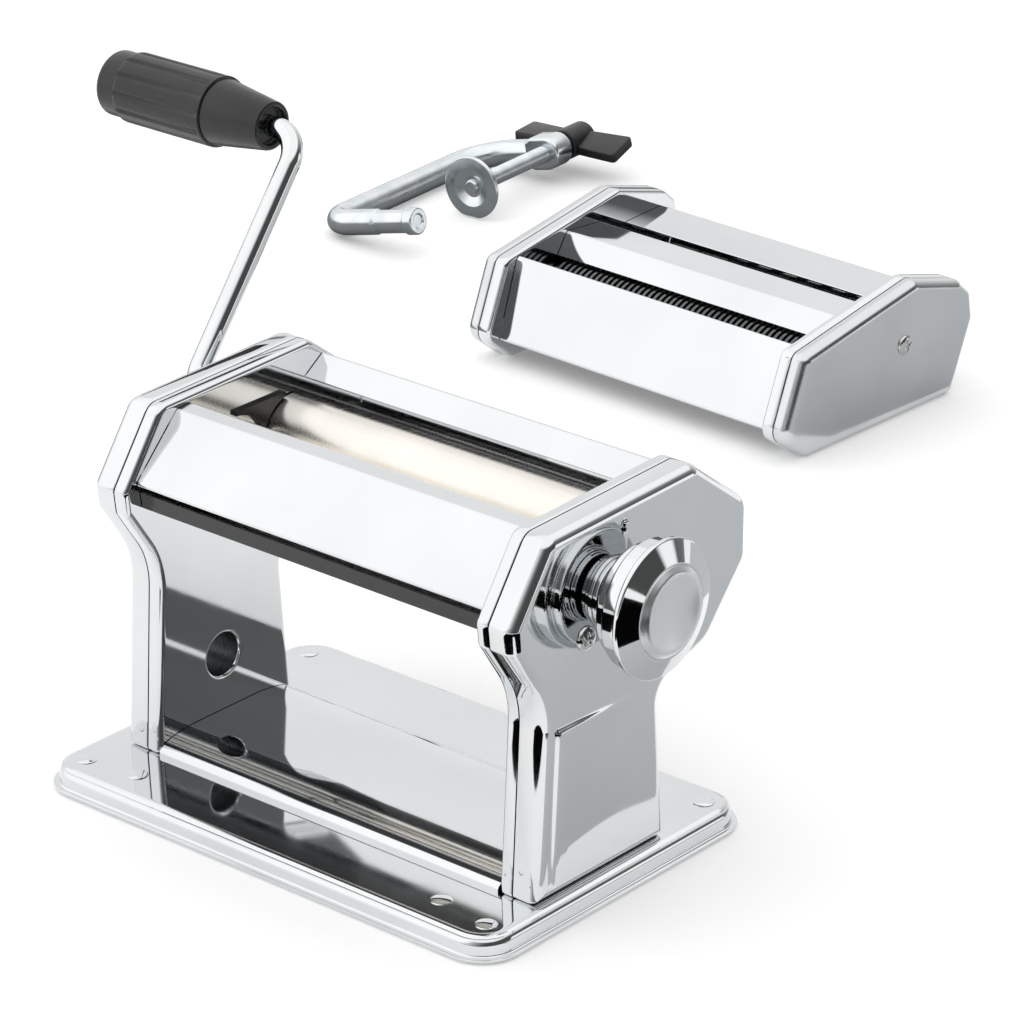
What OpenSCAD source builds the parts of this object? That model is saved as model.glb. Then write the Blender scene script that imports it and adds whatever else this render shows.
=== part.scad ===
// Hand-cranked pasta machine with its crank, a separate cutter and a table clamp.
// X runs along the rollers, towards the adjusting knob. Y runs from front to back. Z is up.
// The origin is on the ground, under the middle of the rollers.

/* [Base] */
// Width of the base plate
base_w = 208; // [200:1:240]
// Middle of the base plate along X: it reaches further out on the crank's side
base_x = -3.3; // [-5:0.1:0]
// Depth of the base plate
base_d = 141; // [130:1:170]
// Height of the flat top of the base above the ground
base_top_z = 9; // [8:0.5:14]
// Corner radius of the base, seen from above
base_corner_r = 15; // [12:1:25]
// Radius of the rolled top edge of the base
base_edge_r = 4; // [2:0.5:5]
// Width of the thin flange round the bottom of the base
base_flange_w = 2.2; // [1:0.1:4]
// Sheet thickness of the base
base_sheet = 1; // [0.8:0.1:1.4]
// Height of the base flange above the ground
foot_lift = 1; // [0.5:0.1:2]
// Radius of a rubber foot
foot_r = 7.5; // [6:0.5:7.5]
// Distance of a foot from the side edge of the base
foot_inset_x = 12; // [12:0.5:16]
// Distance of a foot from the front or back edge of the base
foot_inset_y = 13.5; // [12:0.5:16]
// Radius of a rivet head
rivet_head_r = 3.8; // [3:0.1:5]
// Height of a rivet head
rivet_head_h = 1.4; // [0.8:0.1:2]
// Radius of a rivet shank
rivet_r = 2; // [1.5:0.1:2.5]
// Distance of a front rivet from the middle of the base
front_rivet_x = 70; // [60:1:78]
// Distance of a front rivet from the front edge of the base
front_rivet_inset = 16.5; // [14:0.5:18]

/* [Sides] */
// Clear width between the side plates
roller_space = 156; // [146:1:180]
// Sheet thickness of a side plate
plate_t = 1.2; // [1:0.1:1.6]
// Depth of the flange round a side plate
plate_flange = 5.5; // [5.5:0.5:8]
// Gap between a side plate's flange and its cover
cover_gap = 0.5; // [0.3:0.1:1]
// Depth of a cover
cover_d = 10.5; // [10:0.5:14]
// Sheet thickness of a cover
cover_t = 1; // [0.8:0.1:1.4]
// Radius of the rounded edge of a cover
cover_edge_r = 4.5; // [4:0.5:7]
// Front of the foot of a stand
foot_front_y = -38.5; // [-44:0.5:-36]
// Back of the foot of a stand
foot_back_y = 29.5; // [28:0.5:36]
// Front of the waist of a stand
waist_front_y = -34.5; // [-36:0.5:-32]
// Height of the front of the waist
waist_front_z = 81; // [78:1:83]
// Radius of the hollow curve at the front of the waist
waist_front_r = 30; // [24:1:36]
// Tip of the nose: distance from the middle
nose_tip_y = -49.5; // [-52:0.5:-48]
// Tip of the nose: height
nose_tip_z = 103.5; // [101:0.5:105]
// Front of the nose: distance from the middle
nose_y = -50.5; // [-53:0.5:-50]
// Front of the nose: height
nose_z = 112; // [109:0.5:114]
// Front end of the top edge: distance from the middle
top_front_y = -32; // [-34:0.5:-31]
// Front end of the top edge: height
top_front_z = 138.5; // [138:0.5:142]
// Back end of the top edge: distance from the middle
top_back_y = 43; // [41:0.5:46]
// Back end of the top edge: height
top_back_z = 140.5; // [140:0.5:146]
// Back of the body
back_y = 71.5; // [71:0.5:78]
// Top of the straight back
back_top_z = 119; // [117:0.5:122]
// Bottom of the straight back
back_low_z = 97.5; // [93:0.5:100]
// Back of the waist of a stand
waist_back_y = 25; // [24:0.5:29]
// Height of the back of the waist
waist_back_z = 66; // [62:0.5:69]
// Bend under the back of the body: distance from the middle
under_back_y = 51; // [46:0.5:56]
// Bend under the back of the body: height
under_back_z = 73.5; // [72:0.5:78]

/* [Panels] */
// Sheet thickness of the panels between the side plates
panel_t = 0.8; // [0.6:0.1:1]
// Gap between a panel's end and a side plate
panel_end_gap = 0.3; // [0.2:0.1:0.6]
// Height of the floor pan's top above the base
pan_h = 6; // [4:0.5:8]
// Depth of the rolled front and back of the floor pan
pan_roll = 20; // [8:0.5:24]
// Lower edge of the front hood: distance from the middle
hood_low_y = -45.5; // [-46:0.5:-43]
// Lower edge of the front hood: height
hood_low_z = 114; // [112:0.5:115]
// Bend of the front hood: distance from the middle
hood_bend_y = -24.5; // [-26:0.5:-23]
// Bend of the front hood: height
hood_bend_z = 135.4; // [134:0.2:136]
// Depth of the flat top of the hood
hood_top_d = 7; // [6:0.5:9]
// Lower edge of the hopper panel: distance from the middle
hopper_low_y = 39.5; // [36:0.5:41]
// Lower edge of the hopper panel: height
hopper_low_z = 128; // [126:0.1:129]
// Upper edge of the hopper panel: distance from the middle
hopper_top_y = 49; // [47:0.5:50]
// Upper edge of the hopper panel: height
hopper_top_z = 134.4; // [133:0.2:135]
// Distance that the back panel lies inside the edge of the side plates
back_panel_inset = 2; // [1.6:0.1:3]
// Height of the dark guard strip under the hood
guard_h = 6; // [5:0.5:7]
// Height of the top of the dough guards above the rollers' axes
dough_guard_h = 16; // [15:0.5:17]
// Thickness of a dough guard
dough_guard_t = 1.6; // [1:0.1:2]

/* [Rollers] */
// Radius of a dough roller
roller_r = 14; // [13.7:0.1:14]
// Gap between a roller's end and a side plate
roller_end_gap = 0.8; // [0.5:0.1:1.2]
// Distance of the driven roller's axis from the middle
drive_y = 31; // [30:0.1:32]
// Height of the rollers' axes
roller_z = 110; // [109:0.1:110]
// Least gap between the rollers
gap_min = 0.25; // [0.2:0.05:0.6]
// Throw of the eccentric shaft
eccentric = 1.6; // [1.2:0.1:1.8]
// Knob turn from the widest to the least gap
knob_turn = 108; // [90:6:120]
// Radius of the driven roller's journals
journal_r = 6; // [5.5:0.1:6.5]
// Radius of the eccentric shaft under the roller
shaft_r = 6.5; // [6.3:0.1:7]
// Radius of the eccentric shaft's end journals
shaft_end_r = 4.5; // [4:0.1:4.7]
// Wall of the bushes inside the adjustable roller
bush_wall = 1.5; // [1.2:0.1:1.6]
// Length of a bush inside the adjustable roller
bush_len = 12; // [10:1:16]
// Outer radius of the adjustable roller's neck
neck_r = 9.6; // [9.4:0.1:9.8]
// Wall of a bush in a side plate
plate_bush_wall = 2; // [1.5:0.1:2.2]
// Width of the flange of a bush in a side plate
bush_flange = 1.6; // [1:0.1:2]
// Thickness of the flange of a bush in a side plate
bush_flange_t = 0.9; // [0.7:0.1:1]
// Width of a gear
gear_w = 6; // [5:0.5:6]
// Gap beside a gear
gear_gap = 0.6; // [0.4:0.1:0.7]
// Thickness of the bridge that holds the eccentric shaft's left end
bridge_t = 2; // [1.5:0.1:2]
// Radius of a tie rod
tie_r = 4; // [3:0.5:4.5]
// Radius of a tie rod's threaded end
tie_end_r = 2.5; // [2:0.1:2.8]
// Running clearance of a shaft in its hole
fit = 0.05; // [0.03:0.01:0.08]
// Clearance of pieces that are fixed together
seat = 0.02; // [0.01:0.01:0.04]

/* [Knob] */
// Radius of the knob's lip
knob_r = 24.2; // [23.8:0.2:26]
// Radius of the knob's side band
knob_band_r = 22.4; // [21:0.2:23]
// Radius of the knob's back skirt
knob_skirt_r = 20; // [18:0.5:20.5]
// Radius of the dished disc on the knob
knob_disc_r = 16; // [14:0.2:17]
// Height of the dished disc above the knob's face
knob_disc_h = 2.1; // [1.6:0.1:3]
// Depth of the dish
knob_dish = 2.6; // [2:0.1:3]
// Distance from the cover to the knob
knob_stand_off = 7; // [6.5:0.5:10]
// Length of the knob's back skirt
knob_skirt_len = 4; // [3.5:0.5:5]
// Length of the knob's side band
knob_band_len = 6.5; // [5.5:0.5:7.5]
// Length of the knob's lip
knob_lip_len = 1.8; // [1.4:0.1:2.4]
// Depth of the cone from the knob's lip to its face
knob_front_len = 3.4; // [3.2:0.1:5]
// Radius of the index collar on the cover
collar_r = 13; // [11.5:0.5:13.5]
// Height of the index collar
collar_h = 5.8; // [4:0.2:6]
// Steps of the index collar
collar_steps = 3; // [2:1:4]

/* [Crank] */
// Radius of the crank rod
crank_r = 4; // [3.5:0.1:4.2]
// Distance of the crank arm from the middle of the machine
crank_x = 127.5; // [122:0.5:135]
// Length of the crank arm between its axes
crank_arm = 103; // [90:1:115]
// Lean of the crank arm towards the back
crank_lean = 37.2; // [20:0.1:50]
// Centre-line radius of the crank's bends
crank_bend_r = 12; // [9:0.5:14]
// Length of the crank's hexagonal end
crank_hex_len = 20; // [16:1:22]
// Gap between the crank's bend and the grip
grip_gap = 2.5; // [1:0.5:4]
// Length of the grip's smooth tapered part
grip_taper_len = 25; // [20:1:32]
// Length of the grip's ribbed part
grip_rib_len = 44; // [38:1:60]
// Length of the grip's end
grip_end_len = 9.5; // [7:0.5:11]
// Radius of the grip's narrow end
grip_small_r = 9.2; // [8:0.2:10]
// Radius of the ribbed part
grip_r = 13.4; // [12.4:0.2:14.6]
// Radius of the grip's end
grip_end_r = 12.2; // [11:0.2:12.4]
// Number of grooves in the grip
grip_grooves = 12; // [8:1:16]
// Depth of a groove in the grip
grip_groove = 0.8; // [0.4:0.1:1.2]

/* [Clamp hole and screws] */
// Radius of the clamp hole in the left side plate
clamp_hole_r = 8; // [7:0.1:9]
// Distance of the clamp hole from the middle
clamp_hole_y = -5; // [-8:0.5:0]
// Height of the clamp hole
clamp_hole_z = 36; // [32:0.5:42]
// Wall of the clamp socket
socket_wall = 1.5; // [1.2:0.1:2]
// Cover screws: distance from the middle
cover_screw_y = -14; // [-16:0.2:-13.6]
// Right cover screw: height
right_screw_z = 98; // [96:0.1:98.4]
// Left cover screw: height
left_screw_z = 82; // [78:0.5:83]
// Radius of a screw head
screw_head_r = 4.4; // [3.6:0.1:4.6]
// Height of a screw head
screw_head_h = 1.8; // [1.4:0.1:2.2]
// Radius of a screw shank
screw_r = 1.6; // [1.4:0.1:1.8]
// Radius of a cover post
post_r = 3.6; // [3:0.1:4]

/* [Cutter] */
// Clear width between the cutter's plates
cutter_space = 151; // [140:1:176]
// Cutter: place of its middle along X
cutter_x = -167.3; // [-180:0.1:-150]
// Cutter: place of its front foot along Y
cutter_y = 333.5; // [320:0.5:360]
// Cutter: turn on the table
cutter_turn = -2.4; // [-6:0.1:6]
// Depth of the flange round a cutter plate
cutter_flange = 6; // [5:0.5:7]
// Depth of a cutter cap
cutter_cap_d = 7; // [6.5:0.5:9]
// Radius of the rounded edge of a cutter cap
cutter_edge_r = 4.5; // [3:0.5:5]
// Radius of a cutting roller
cutter_r = 10.5; // [10:0.1:10.6]
// Depth of the grooves that the discs run in
cutter_groove = 2.6; // [2.4:0.1:3]
// Overlap of the discs of a pair
cutter_overlap = 2; // [1.6:0.1:2.2]
// Width of a fine strip
fine_strip = 1.5; // [1.4:0.1:2.5]
// Width of a wide strip
wide_strip = 7; // [5:0.5:8]
// Side clearance of a disc in its groove
disc_side = 0.15; // [0.12:0.01:0.2]
// Front fine roller: distance from the cutter's front
fine_y = 18.5; // [18:0.1:18.8]
// Height of the fine rollers' axes
fine_z = 27; // [26:0.5:27.5]
// Front wide roller: distance from the cutter's front
wide_y = 64.5; // [64:0.1:65]
// Height of the wide rollers' axes
wide_z = 24; // [23:0.5:25]
// Radius of a cutting roller's journals
cutter_journal_r = 4.6; // [4.4:0.1:4.8]
// Width of a cutter gear
cutter_gear_w = 4.5; // [4:0.5:5]
// Front panel: height of its lower bend
cutter_front_low = 10.5; // [10:0.5:12]
// Front panel: distance of its upper bend from the cutter's front
cutter_front_top_y = 11; // [10.5:0.5:11.5]
// Front panel: height of its upper bend
cutter_front_top_z = 44; // [43:0.5:44.5]
// Fine feed: distance of the middle panel's front edge
middle_front_y = 37; // [36:0.5:38]
// Fine feed: height of the middle panel's front edge
middle_front_z = 39.2; // [39:0.1:40]
// Middle panel: distance of its ridge
middle_ridge_y = 43; // [42:0.5:44]
// Middle panel: height of its ridge
middle_ridge_z = 48.3; // [47.5:0.1:49]
// Wide feed: distance of the middle panel's back edge
middle_back_y = 64.2; // [63:0.2:66]
// Wide feed: height of the middle panel's back edge
middle_back_z = 47; // [46:0.5:48]
// Wide feed: distance of the rear panel's front edge
rear_front_y = 81.5; // [80:0.5:83]
// Wide feed: height of the rear panel's front edge
rear_front_z = 42.3; // [41.5:0.1:43]
// Rear panel: distance of its ridge
rear_ridge_y = 105; // [104:0.5:106]
// Rear panel: height of its ridge
rear_ridge_z = 43.8; // [43:0.1:44.5]
// Rear panel: height of its lower edge
rear_low_z = 12; // [11:0.5:14]
// Lip along the edges of the cutter's panels
cutter_lip = 2; // [1.5:0.1:2.5]

/* [Clamp] */
// Clamp: place of its corner along X
clamp_x = -404.8; // [-430:0.1:-380]
// Clamp: place of its corner along Y
clamp_y = 406; // [390:1:430]
// Clamp: turn on the table
clamp_turn = 4.5; // [-5:0.5:12]
// Radius of the clamp rod
clamp_rod_r = 6; // [5.6:0.1:6.5]
// Length of the clamp between its arms
clamp_len = 120; // [110:1:140]
// Length of the pin arm
pin_arm = 53; // [48:1:60]
// Length of the pin's neck
pin_neck_len = 19; // [15:1:22]
// Radius of the pin's neck
pin_neck_r = 5.4; // [4.5:0.1:5.6]
// Length of the bead at the pin's end
pin_bead_len = 5; // [4:0.5:7]
// Radius of the bead at the pin's end
pin_bead_r = 6.3; // [6:0.1:7]
// Centre-line radius of the bend at the pin arm
pin_bend_r = 13; // [11:0.5:16]
// Centre-line radius of the bend at the screw arm
screw_bend_r = 20; // [14:0.5:24]
// Distance of the screw from the long arm
screw_offset = 40.5; // [38:0.5:44]
// Half the height of the eye at the end of the screw arm
boss_r = 8; // [7.2:0.1:8.5]
// Depth of the eye, along the screw
boss_len = 13; // [12.5:0.5:15]
// Half the length of the eye, along its arm
boss_reach = 8.5; // [7.5:0.5:9.5]
// Radius of the clamp screw
screw_thread_r = 4; // [3.5:0.1:4.5]
// Pitch of the clamp screw
screw_pitch = 1.25; // [1:0.05:1.5]
// Distance of the pad from the pin arm
pad_y = 56; // [50:1:64]
// Radius of the pad
pad_r = 15; // [13:0.2:16]
// Thickness of the pad's rim
pad_t = 2; // [1.5:0.1:2.5]
// Depth of the pad's dish
pad_dish = 3.6; // [2.5:0.1:4.5]
// Length of the wing's hub
wing_hub_len = 18; // [14:0.5:20]
// Radius of the wing's hub
wing_hub_r = 7.5; // [7:0.1:8.5]
// Length of the wing from tip to tip
wing_len = 58; // [48:1:66]
// Width of a blade of the wing
wing_w = 17; // [13:0.5:18]
// Thickness of the wing
wing_t = 5; // [4:0.5:6]
// Turn of the wing at rest
wing_turn = 11; // [0:1:20]
// Pitch of both blades of the wing
wing_pitch = 10; // [0:1:14]
// Twist of each blade from that pitch
wing_twist = 7; // [0:1:10]

/* [Hidden] */
$fn = 64;
steps = 4;

// Stations along X, from the middle out to a cover
plate_in = roller_space / 2;
plate_out = plate_in + plate_t;
flange_end = plate_in + plate_flange;
cover_in = flange_end + cover_gap;
cover_out = cover_in + cover_d;
gear_in = plate_out + bush_flange_t + gear_gap;
gear_out = gear_in + gear_w;
bridge_in = gear_out + gear_gap;
bridge_out = bridge_in + bridge_t;
roller_end = plate_in - roller_end_gap;
panel_end = plate_in - panel_end_gap;

// Eccentric: the shaft's own axis, and the roller's axis at rest with the widest gap
half_turn = knob_turn / 2;
gap_travel = 2 * eccentric * sin(half_turn);
shaft_y = drive_y - 2 * roller_r - gap_min - gap_travel / 2;
shaft_z = roller_z - eccentric * (1 + cos(half_turn)) / 2;
adjust_y = shaft_y - eccentric * sin(half_turn);
adjust_z = shaft_z + eccentric * cos(half_turn);
bush_out_r = shaft_r + fit + bush_wall;

// Gear teeth: twelve slim teeth that stay in mesh over the whole gap
teeth = 12;
tooth_up = 2.4;
tooth_down = 3.2;
tooth_root_half = 7.2;
tooth_tip_half = 2.2;

// Knob stations along X
knob_back = cover_out + knob_stand_off;
knob_band = knob_back + knob_skirt_len;
knob_lip = knob_band + knob_band_len;
knob_shoulder = knob_lip + knob_lip_len;
knob_face = knob_shoulder + knob_front_len;
knob_front = knob_face + knob_disc_h;
knob_floor = 3;
spring_r = shaft_end_r + 2.6;
spring_wire = 1;
retainer_t = 1.6;
disc_seat = knob_face - 1.4;
retainer_in = disc_seat - 0.6 - retainer_t;

// Crank: start of its hexagonal end
socket_mouth = cover_out - cover_t - 0.6;
crank_tip = socket_mouth - crank_hex_len;
crank_flat = 0.1;
grip_start = crank_x + crank_bend_r + grip_gap;
grip_end = grip_start + grip_taper_len + grip_rib_len + grip_end_len;

// Cutter stations along its own X
cut_in = cutter_space / 2;
cut_out = cut_in + plate_t;
cut_flange_end = cut_in + cutter_flange;
cut_cap_in = cut_flange_end + cover_gap;
cut_cap_out = cut_cap_in + cutter_cap_d;
cut_roller_end = cut_in - roller_end_gap;
cut_panel_end = cut_in - panel_end_gap;
cutter_pair = 2 * cutter_r - cutter_overlap;
cut_gear_in = cut_out + gear_gap;
cut_teeth = 8;
cut_tooth_up = 1.9;
cut_tooth_down = 2.6;
cut_root_half = 10;
cut_tip_half = 3.6;

// Clamp: lean that lets it rest on its long arm and on the pad's rim
clamp_tilt = asin((pad_r - clamp_rod_r) / screw_offset);
wing_y = clamp_len + boss_len / 2 + 3;

// Outlines seen from the right: Y across, Z up, anticlockwise
side_points = [[foot_front_y, base_top_z], [foot_back_y, base_top_z], [waist_back_y, waist_back_z],
    [under_back_y, under_back_z], [back_y, back_low_z], [back_y, back_top_z],
    [top_back_y, top_back_z], [top_front_y, top_front_z], [nose_y, nose_z],
    [nose_tip_y, nose_tip_z], [waist_front_y, waist_front_z]];
side_radii = [1.5, 1.5, 8, 14, 7, 7, 6, 6, 4, 2.5, waist_front_r];

cutter_points = [[8, 0], [104, 0], [117, 31], [115, 43], [107, 50], [77, 58], [5, 45], [-8, 12]];
cutter_radii = [6, 4, 5, 5, 6, 8, 5, 7];

// Sections of the cutter's panels: their upper faces, from the front to the back
cutter_front_path = [[1.5 * cutter_lip, cutter_front_low - 0.75 * cutter_lip], [0, cutter_front_low],
    [cutter_front_top_y, cutter_front_top_z],
    [cutter_front_top_y + 0.8 * cutter_lip, cutter_front_top_z + 0.6 * cutter_lip],
    [cutter_front_top_y + 1.8 * cutter_lip, cutter_front_top_z + 0.1 * cutter_lip]];
cutter_middle_path = [[middle_front_y, middle_front_z], [middle_ridge_y, middle_ridge_z],
    [middle_back_y, middle_back_z], [middle_back_y + 0.3 * cutter_lip, middle_back_z - 0.9 * cutter_lip]];
cutter_back_inset = [[-11, 12], [-3.6, -1], [-2, -7]];
cutter_rear_path = [[rear_front_y, rear_front_z], [rear_ridge_y, rear_ridge_z],
    cutter_points[3] + cutter_back_inset[2], cutter_points[2] + cutter_back_inset[1],
    [cutter_points[2][0] + cutter_back_inset[0][0], rear_low_z]];

base_points = [for (p = [[-1, -1], [1, -1], [1, 1], [-1, 1]])
    [base_x + p[0] * base_w / 2, p[1] * base_d / 2]];
base_radii = [for (p = base_points) base_corner_r];

function unit(v) = v / norm(v);
function left_of(v) = [-v[1], v[0]];
function at(list, i) = list[(i + len(list)) % len(list)];
function wrapped(t) = t > 180 ? t - 360 : t < -180 ? t + 360 : t;
function heading(v) = atan2(v[1], v[0]);

// Corner i of a closed outline, moved inwards by d
function inset_corner(pts, i, d) =
    let (na = left_of(unit(at(pts, i) - at(pts, i - 1))))
    let (nb = left_of(unit(at(pts, i + 1) - at(pts, i))))
    at(pts, i) + d * (na + nb) / (1 + na * nb);

// True where a closed anticlockwise outline bulges outwards
function bulges(pts, i) = cross(at(pts, i) - at(pts, i - 1), at(pts, i + 1) - at(pts, i)) > 0;

// Points of the round that replaces corner i
function rounded_corner(pts, rad, i, n) =
    let (q = pts[i], a = unit(at(pts, i - 1) - q), b = unit(at(pts, i + 1) - q))
    let (half = acos(a * b) / 2, c = q + unit(a + b) * rad / sin(half), reach = rad / tan(half))
    let (from = heading(q + a * reach - c), sweep = wrapped(heading(q + b * reach - c) - from))
    [for (k = [0:n]) c + rad * [cos(from + sweep * k / n), sin(from + sweep * k / n)]];

// Closed outline with rounded corners, moved inwards by d
function outline(pts, radii, d = 0, n = steps) =
    let (moved = [for (i = [0:len(pts) - 1]) inset_corner(pts, i, d)])
    let (r = [for (i = [0:len(pts) - 1]) bulges(pts, i) ? max(radii[i] - d, 0.4) : radii[i] + d])
    [for (i = [0:len(pts) - 1]) each rounded_corner(moved, r[i], i, n)];

// Point i of an open path, moved to its left by t
function beside(path, i, t) =
    let (last = len(path) - 1)
    let (a = unit(i > 0 ? path[i] - path[i - 1] : path[1] - path[0]))
    let (b = unit(i < last ? path[i + 1] - path[i] : path[last] - path[last - 1]))
    path[i] + t * (left_of(a) + left_of(b)) / (1 + left_of(a) * left_of(b));

// Section of a folded sheet: the path and the same path moved to its left by t
function sheet(path, t) = concat(path, [for (i = [len(path) - 1:-1:0]) beside(path, i, t)]);

// Star of gear teeth
function gear_points(count, pitch_r, up, down, root_half, tip_half) =
    [for (i = [0:count - 1], s = [[-1, 0], [-1, 1], [1, 1], [1, 0]])
        let (r = s[1] == 1 ? pitch_r + up : pitch_r - down)
        let (t = i * 360 / count + s[0] * (s[1] == 1 ? tip_half : root_half))
        r * [cos(t), sin(t)]];

// Section of a disc roller: axis along the second coordinate
function disc_section(edges, r, groove) =
    concat([[0, edges[0][0]]], [for (e = edges) each [[e[2] ? r : r - groove, e[0]],
        [e[2] ? r : r - groove, e[1]]]], [[0, edges[len(edges) - 1][1]]]);

// Rings of an edge that turns in: inset and height for each step of a quarter round
function edge_steps(inset, height, r) =
    [for (k = [0:3]) [inset + r * (1 - cos(30 * k)), height + r * sin(30 * k)]];

// Extrudes a section in Y and Z along X
module along_x(length) {
    rotate([90, 0, 90])
        linear_extrude(length)
            children();
}

// Round bar along X
module bar_x(r, from, to, y, z) {
    translate([from, y, z])
        rotate([0, 90, 0])
            cylinder(r = r, h = to - from);
}

// Turned piece on an axis along X: its section is radius and X
module turned_x(y, z) {
    translate([0, y, z])
        rotate([0, 90, 0])
            rotate_extrude()
                children();
}

// Closed shell between stacks of outer and inner rings with equal point counts
module ring_shell(outer, inner) {
    n = len(outer[0]);
    tops = len(outer);
    all = len(outer) + len(inner);
    points = [for (ring = concat(outer, inner)) each ring];
    links = [for (k = [0:all - 1]) if (k != tops - 1) [k, (k + 1) % all]];
    sides = [for (l = links, i = [0:n - 1])
        [l[0] * n + i, l[1] * n + i, l[1] * n + (i + 1) % n, l[0] * n + (i + 1) % n]];
    roof = [for (i = [n - 1:-1:0]) (tops - 1) * n + i];
    ceiling = [for (i = [0:n - 1]) tops * n + i];
    polyhedron(points, concat(sides, [roof, ceiling]));
}

// Drawn cover over a side outline, on the right-hand side
module drawn_cover(pts, radii, x_in, x_out, edge_r) {
    outer = concat([[0, x_in]], edge_steps(0, x_out - edge_r, edge_r));
    inner = concat([for (k = [3:-1:0]) edge_steps(cover_t, x_out - edge_r, edge_r - cover_t)[k]],
        [[cover_t, x_in]]);
    ring_shell([for (s = outer) [for (p = outline(pts, radii, s[0])) [s[1], p[0], p[1]]]],
        [for (s = inner) [for (p = outline(pts, radii, s[0])) [s[1], p[0], p[1]]]]);
}

// Stamped side plate with its outward flange, on the right-hand side
module stamped_plate(pts, radii, x_in, flange) {
    translate([x_in, 0, 0]) {
        along_x(plate_t)
            polygon(outline(pts, radii));
        along_x(flange)
            difference() {
                polygon(outline(pts, radii));
                polygon(outline(pts, radii, plate_t));
            }
    }
}

// Folded panel between two side plates
module folded_panel(path, t, half = panel_end) {
    translate([-half, 0, 0])
        along_x(2 * half)
            polygon(sheet(path, t));
}

// Flanged bush in a side plate, on the right-hand side
module plate_bush(r, y, z) {
    difference() {
        union() {
            bar_x(r + fit + plate_bush_wall, plate_in, plate_out, y, z);
            bar_x(r + fit + plate_bush_wall + bush_flange, plate_out, plate_out + bush_flange_t, y, z);
        }
        bar_x(r + fit, plate_in - 1, plate_out + bush_flange_t + 1, y, z);
    }
}

// Quarter bend of a round rod in the XZ plane, from angle start
module quarter_bend(r, bend_r, start) {
    rotate([90, 0, 0])
        rotate([0, 0, start])
            rotate_extrude(angle = 90)
                translate([bend_r, 0])
                    circle(r);
}

// Cross-head screw along +Z: the head stands on z = 0 and the shank goes down
module cross_screw(shank_len) {
    difference() {
        union() {
            cylinder(r = screw_head_r, h = screw_head_h * 0.6);
            translate([0, 0, screw_head_h * 0.6])
                cylinder(r1 = screw_head_r, r2 = screw_head_r * 0.7, h = screw_head_h * 0.4);
            translate([0, 0, -shank_len])
                cylinder(r = screw_r, h = shank_len);
        }
        for (turn = [0, 90])
            rotate([0, 0, turn])
                translate([-screw_head_r * 0.5, -0.5, screw_head_h * 0.4])
                    cube([screw_head_r, 1, screw_head_h]);
    }
}

// Places of the feet: four near the corners and one in the middle
foot_places = concat([[0, 0]], [for (x = [-1, 1], y = [-1, 1])
    [base_x + x * (base_w / 2 - foot_inset_x), y * (base_d / 2 - foot_inset_y)]]);
front_rivet_places = [for (x = [-1, 1]) [base_x + x * front_rivet_x, front_rivet_inset - base_d / 2]];
base_screw_x = (plate_out + flange_end) / 2;
base_screw_places = [for (x = [-1, 1], y = [foot_front_y + 12, foot_back_y - 12])
    [x * base_screw_x, y]];

module base_plate() {
    inner_r = base_edge_r - base_sheet;
    wall_z = base_top_z - base_edge_r;
    outer = concat([[0, foot_lift], [0, foot_lift + base_sheet], [base_flange_w, foot_lift + base_sheet]],
        edge_steps(base_flange_w, wall_z, base_edge_r));
    inner = concat([for (k = [3:-1:0]) edge_steps(base_flange_w + base_sheet, wall_z, inner_r)[k]],
        [[base_flange_w + base_sheet, foot_lift]]);
    color("gainsboro")
        difference() {
            ring_shell(
                [for (s = outer) [for (p = outline(base_points, base_radii, s[0], 8)) [p[0], p[1], s[1]]]],
                [for (s = inner) [for (p = outline(base_points, base_radii, s[0], 8)) [p[0], p[1], s[1]]]]);
            for (p = concat(foot_places, front_rivet_places))
                translate([p[0], p[1], 0])
                    cylinder(r = rivet_r + seat, h = 2 * base_top_z);
            for (p = base_screw_places)
                translate([p[0], p[1], 0])
                    cylinder(r = screw_r + seat, h = 2 * base_top_z);
        }
}

module rubber_feet() {
    color("dimgray")
        for (p = foot_places)
            translate([p[0], p[1], 0])
                difference() {
                    union() {
                        cylinder(r = foot_r, h = base_top_z - base_edge_r);
                        cylinder(r = foot_r - 2, h = base_top_z - base_sheet);
                    }
                    translate([0, 0, foot_lift + 1])
                        cylinder(r = rivet_r + seat, h = base_top_z);
                }
}

module foot_rivets() {
    color("silver")
        for (p = foot_places)
            translate([p[0], p[1], base_top_z]) {
                cylinder(r1 = rivet_head_r, r2 = rivet_head_r * 0.6, h = rivet_head_h);
                translate([0, 0, -(base_top_z - foot_lift - 2)])
                    cylinder(r = rivet_r, h = base_top_z - foot_lift - 2);
            }
}

module front_rivets() {
    tail = 1.2;
    color("silver")
        for (p = front_rivet_places)
            translate([p[0], p[1], base_top_z]) {
                cylinder(r1 = rivet_head_r, r2 = rivet_head_r * 0.6, h = rivet_head_h);
                translate([0, 0, -base_sheet])
                    cylinder(r = rivet_r, h = base_sheet);
                translate([0, 0, -base_sheet - tail])
                    cylinder(r = rivet_r + 1.2, h = tail);
            }
}

module base_screws() {
    color("silver")
        for (p = base_screw_places)
            translate([p[0], p[1], base_top_z - base_sheet])
                mirror([0, 0, 1])
                    cross_screw(base_sheet + plate_t + 2.5);
}

module floor_pan() {
    foot = 1;
    rise = pan_h - foot;
    roll = concat([[0, 0]], [for (k = [0:5]) [pan_roll * (1 - cos(18 * k)), foot + rise * sin(18 * k)]]);
    path = concat([for (p = roll) [foot_front_y + p[0], base_top_z + p[1]]],
        [for (k = [6:-1:0]) [foot_back_y - roll[k][0], base_top_z + roll[k][1]]]);
    color("gainsboro")
        folded_panel(path, -panel_t);
}

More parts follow.
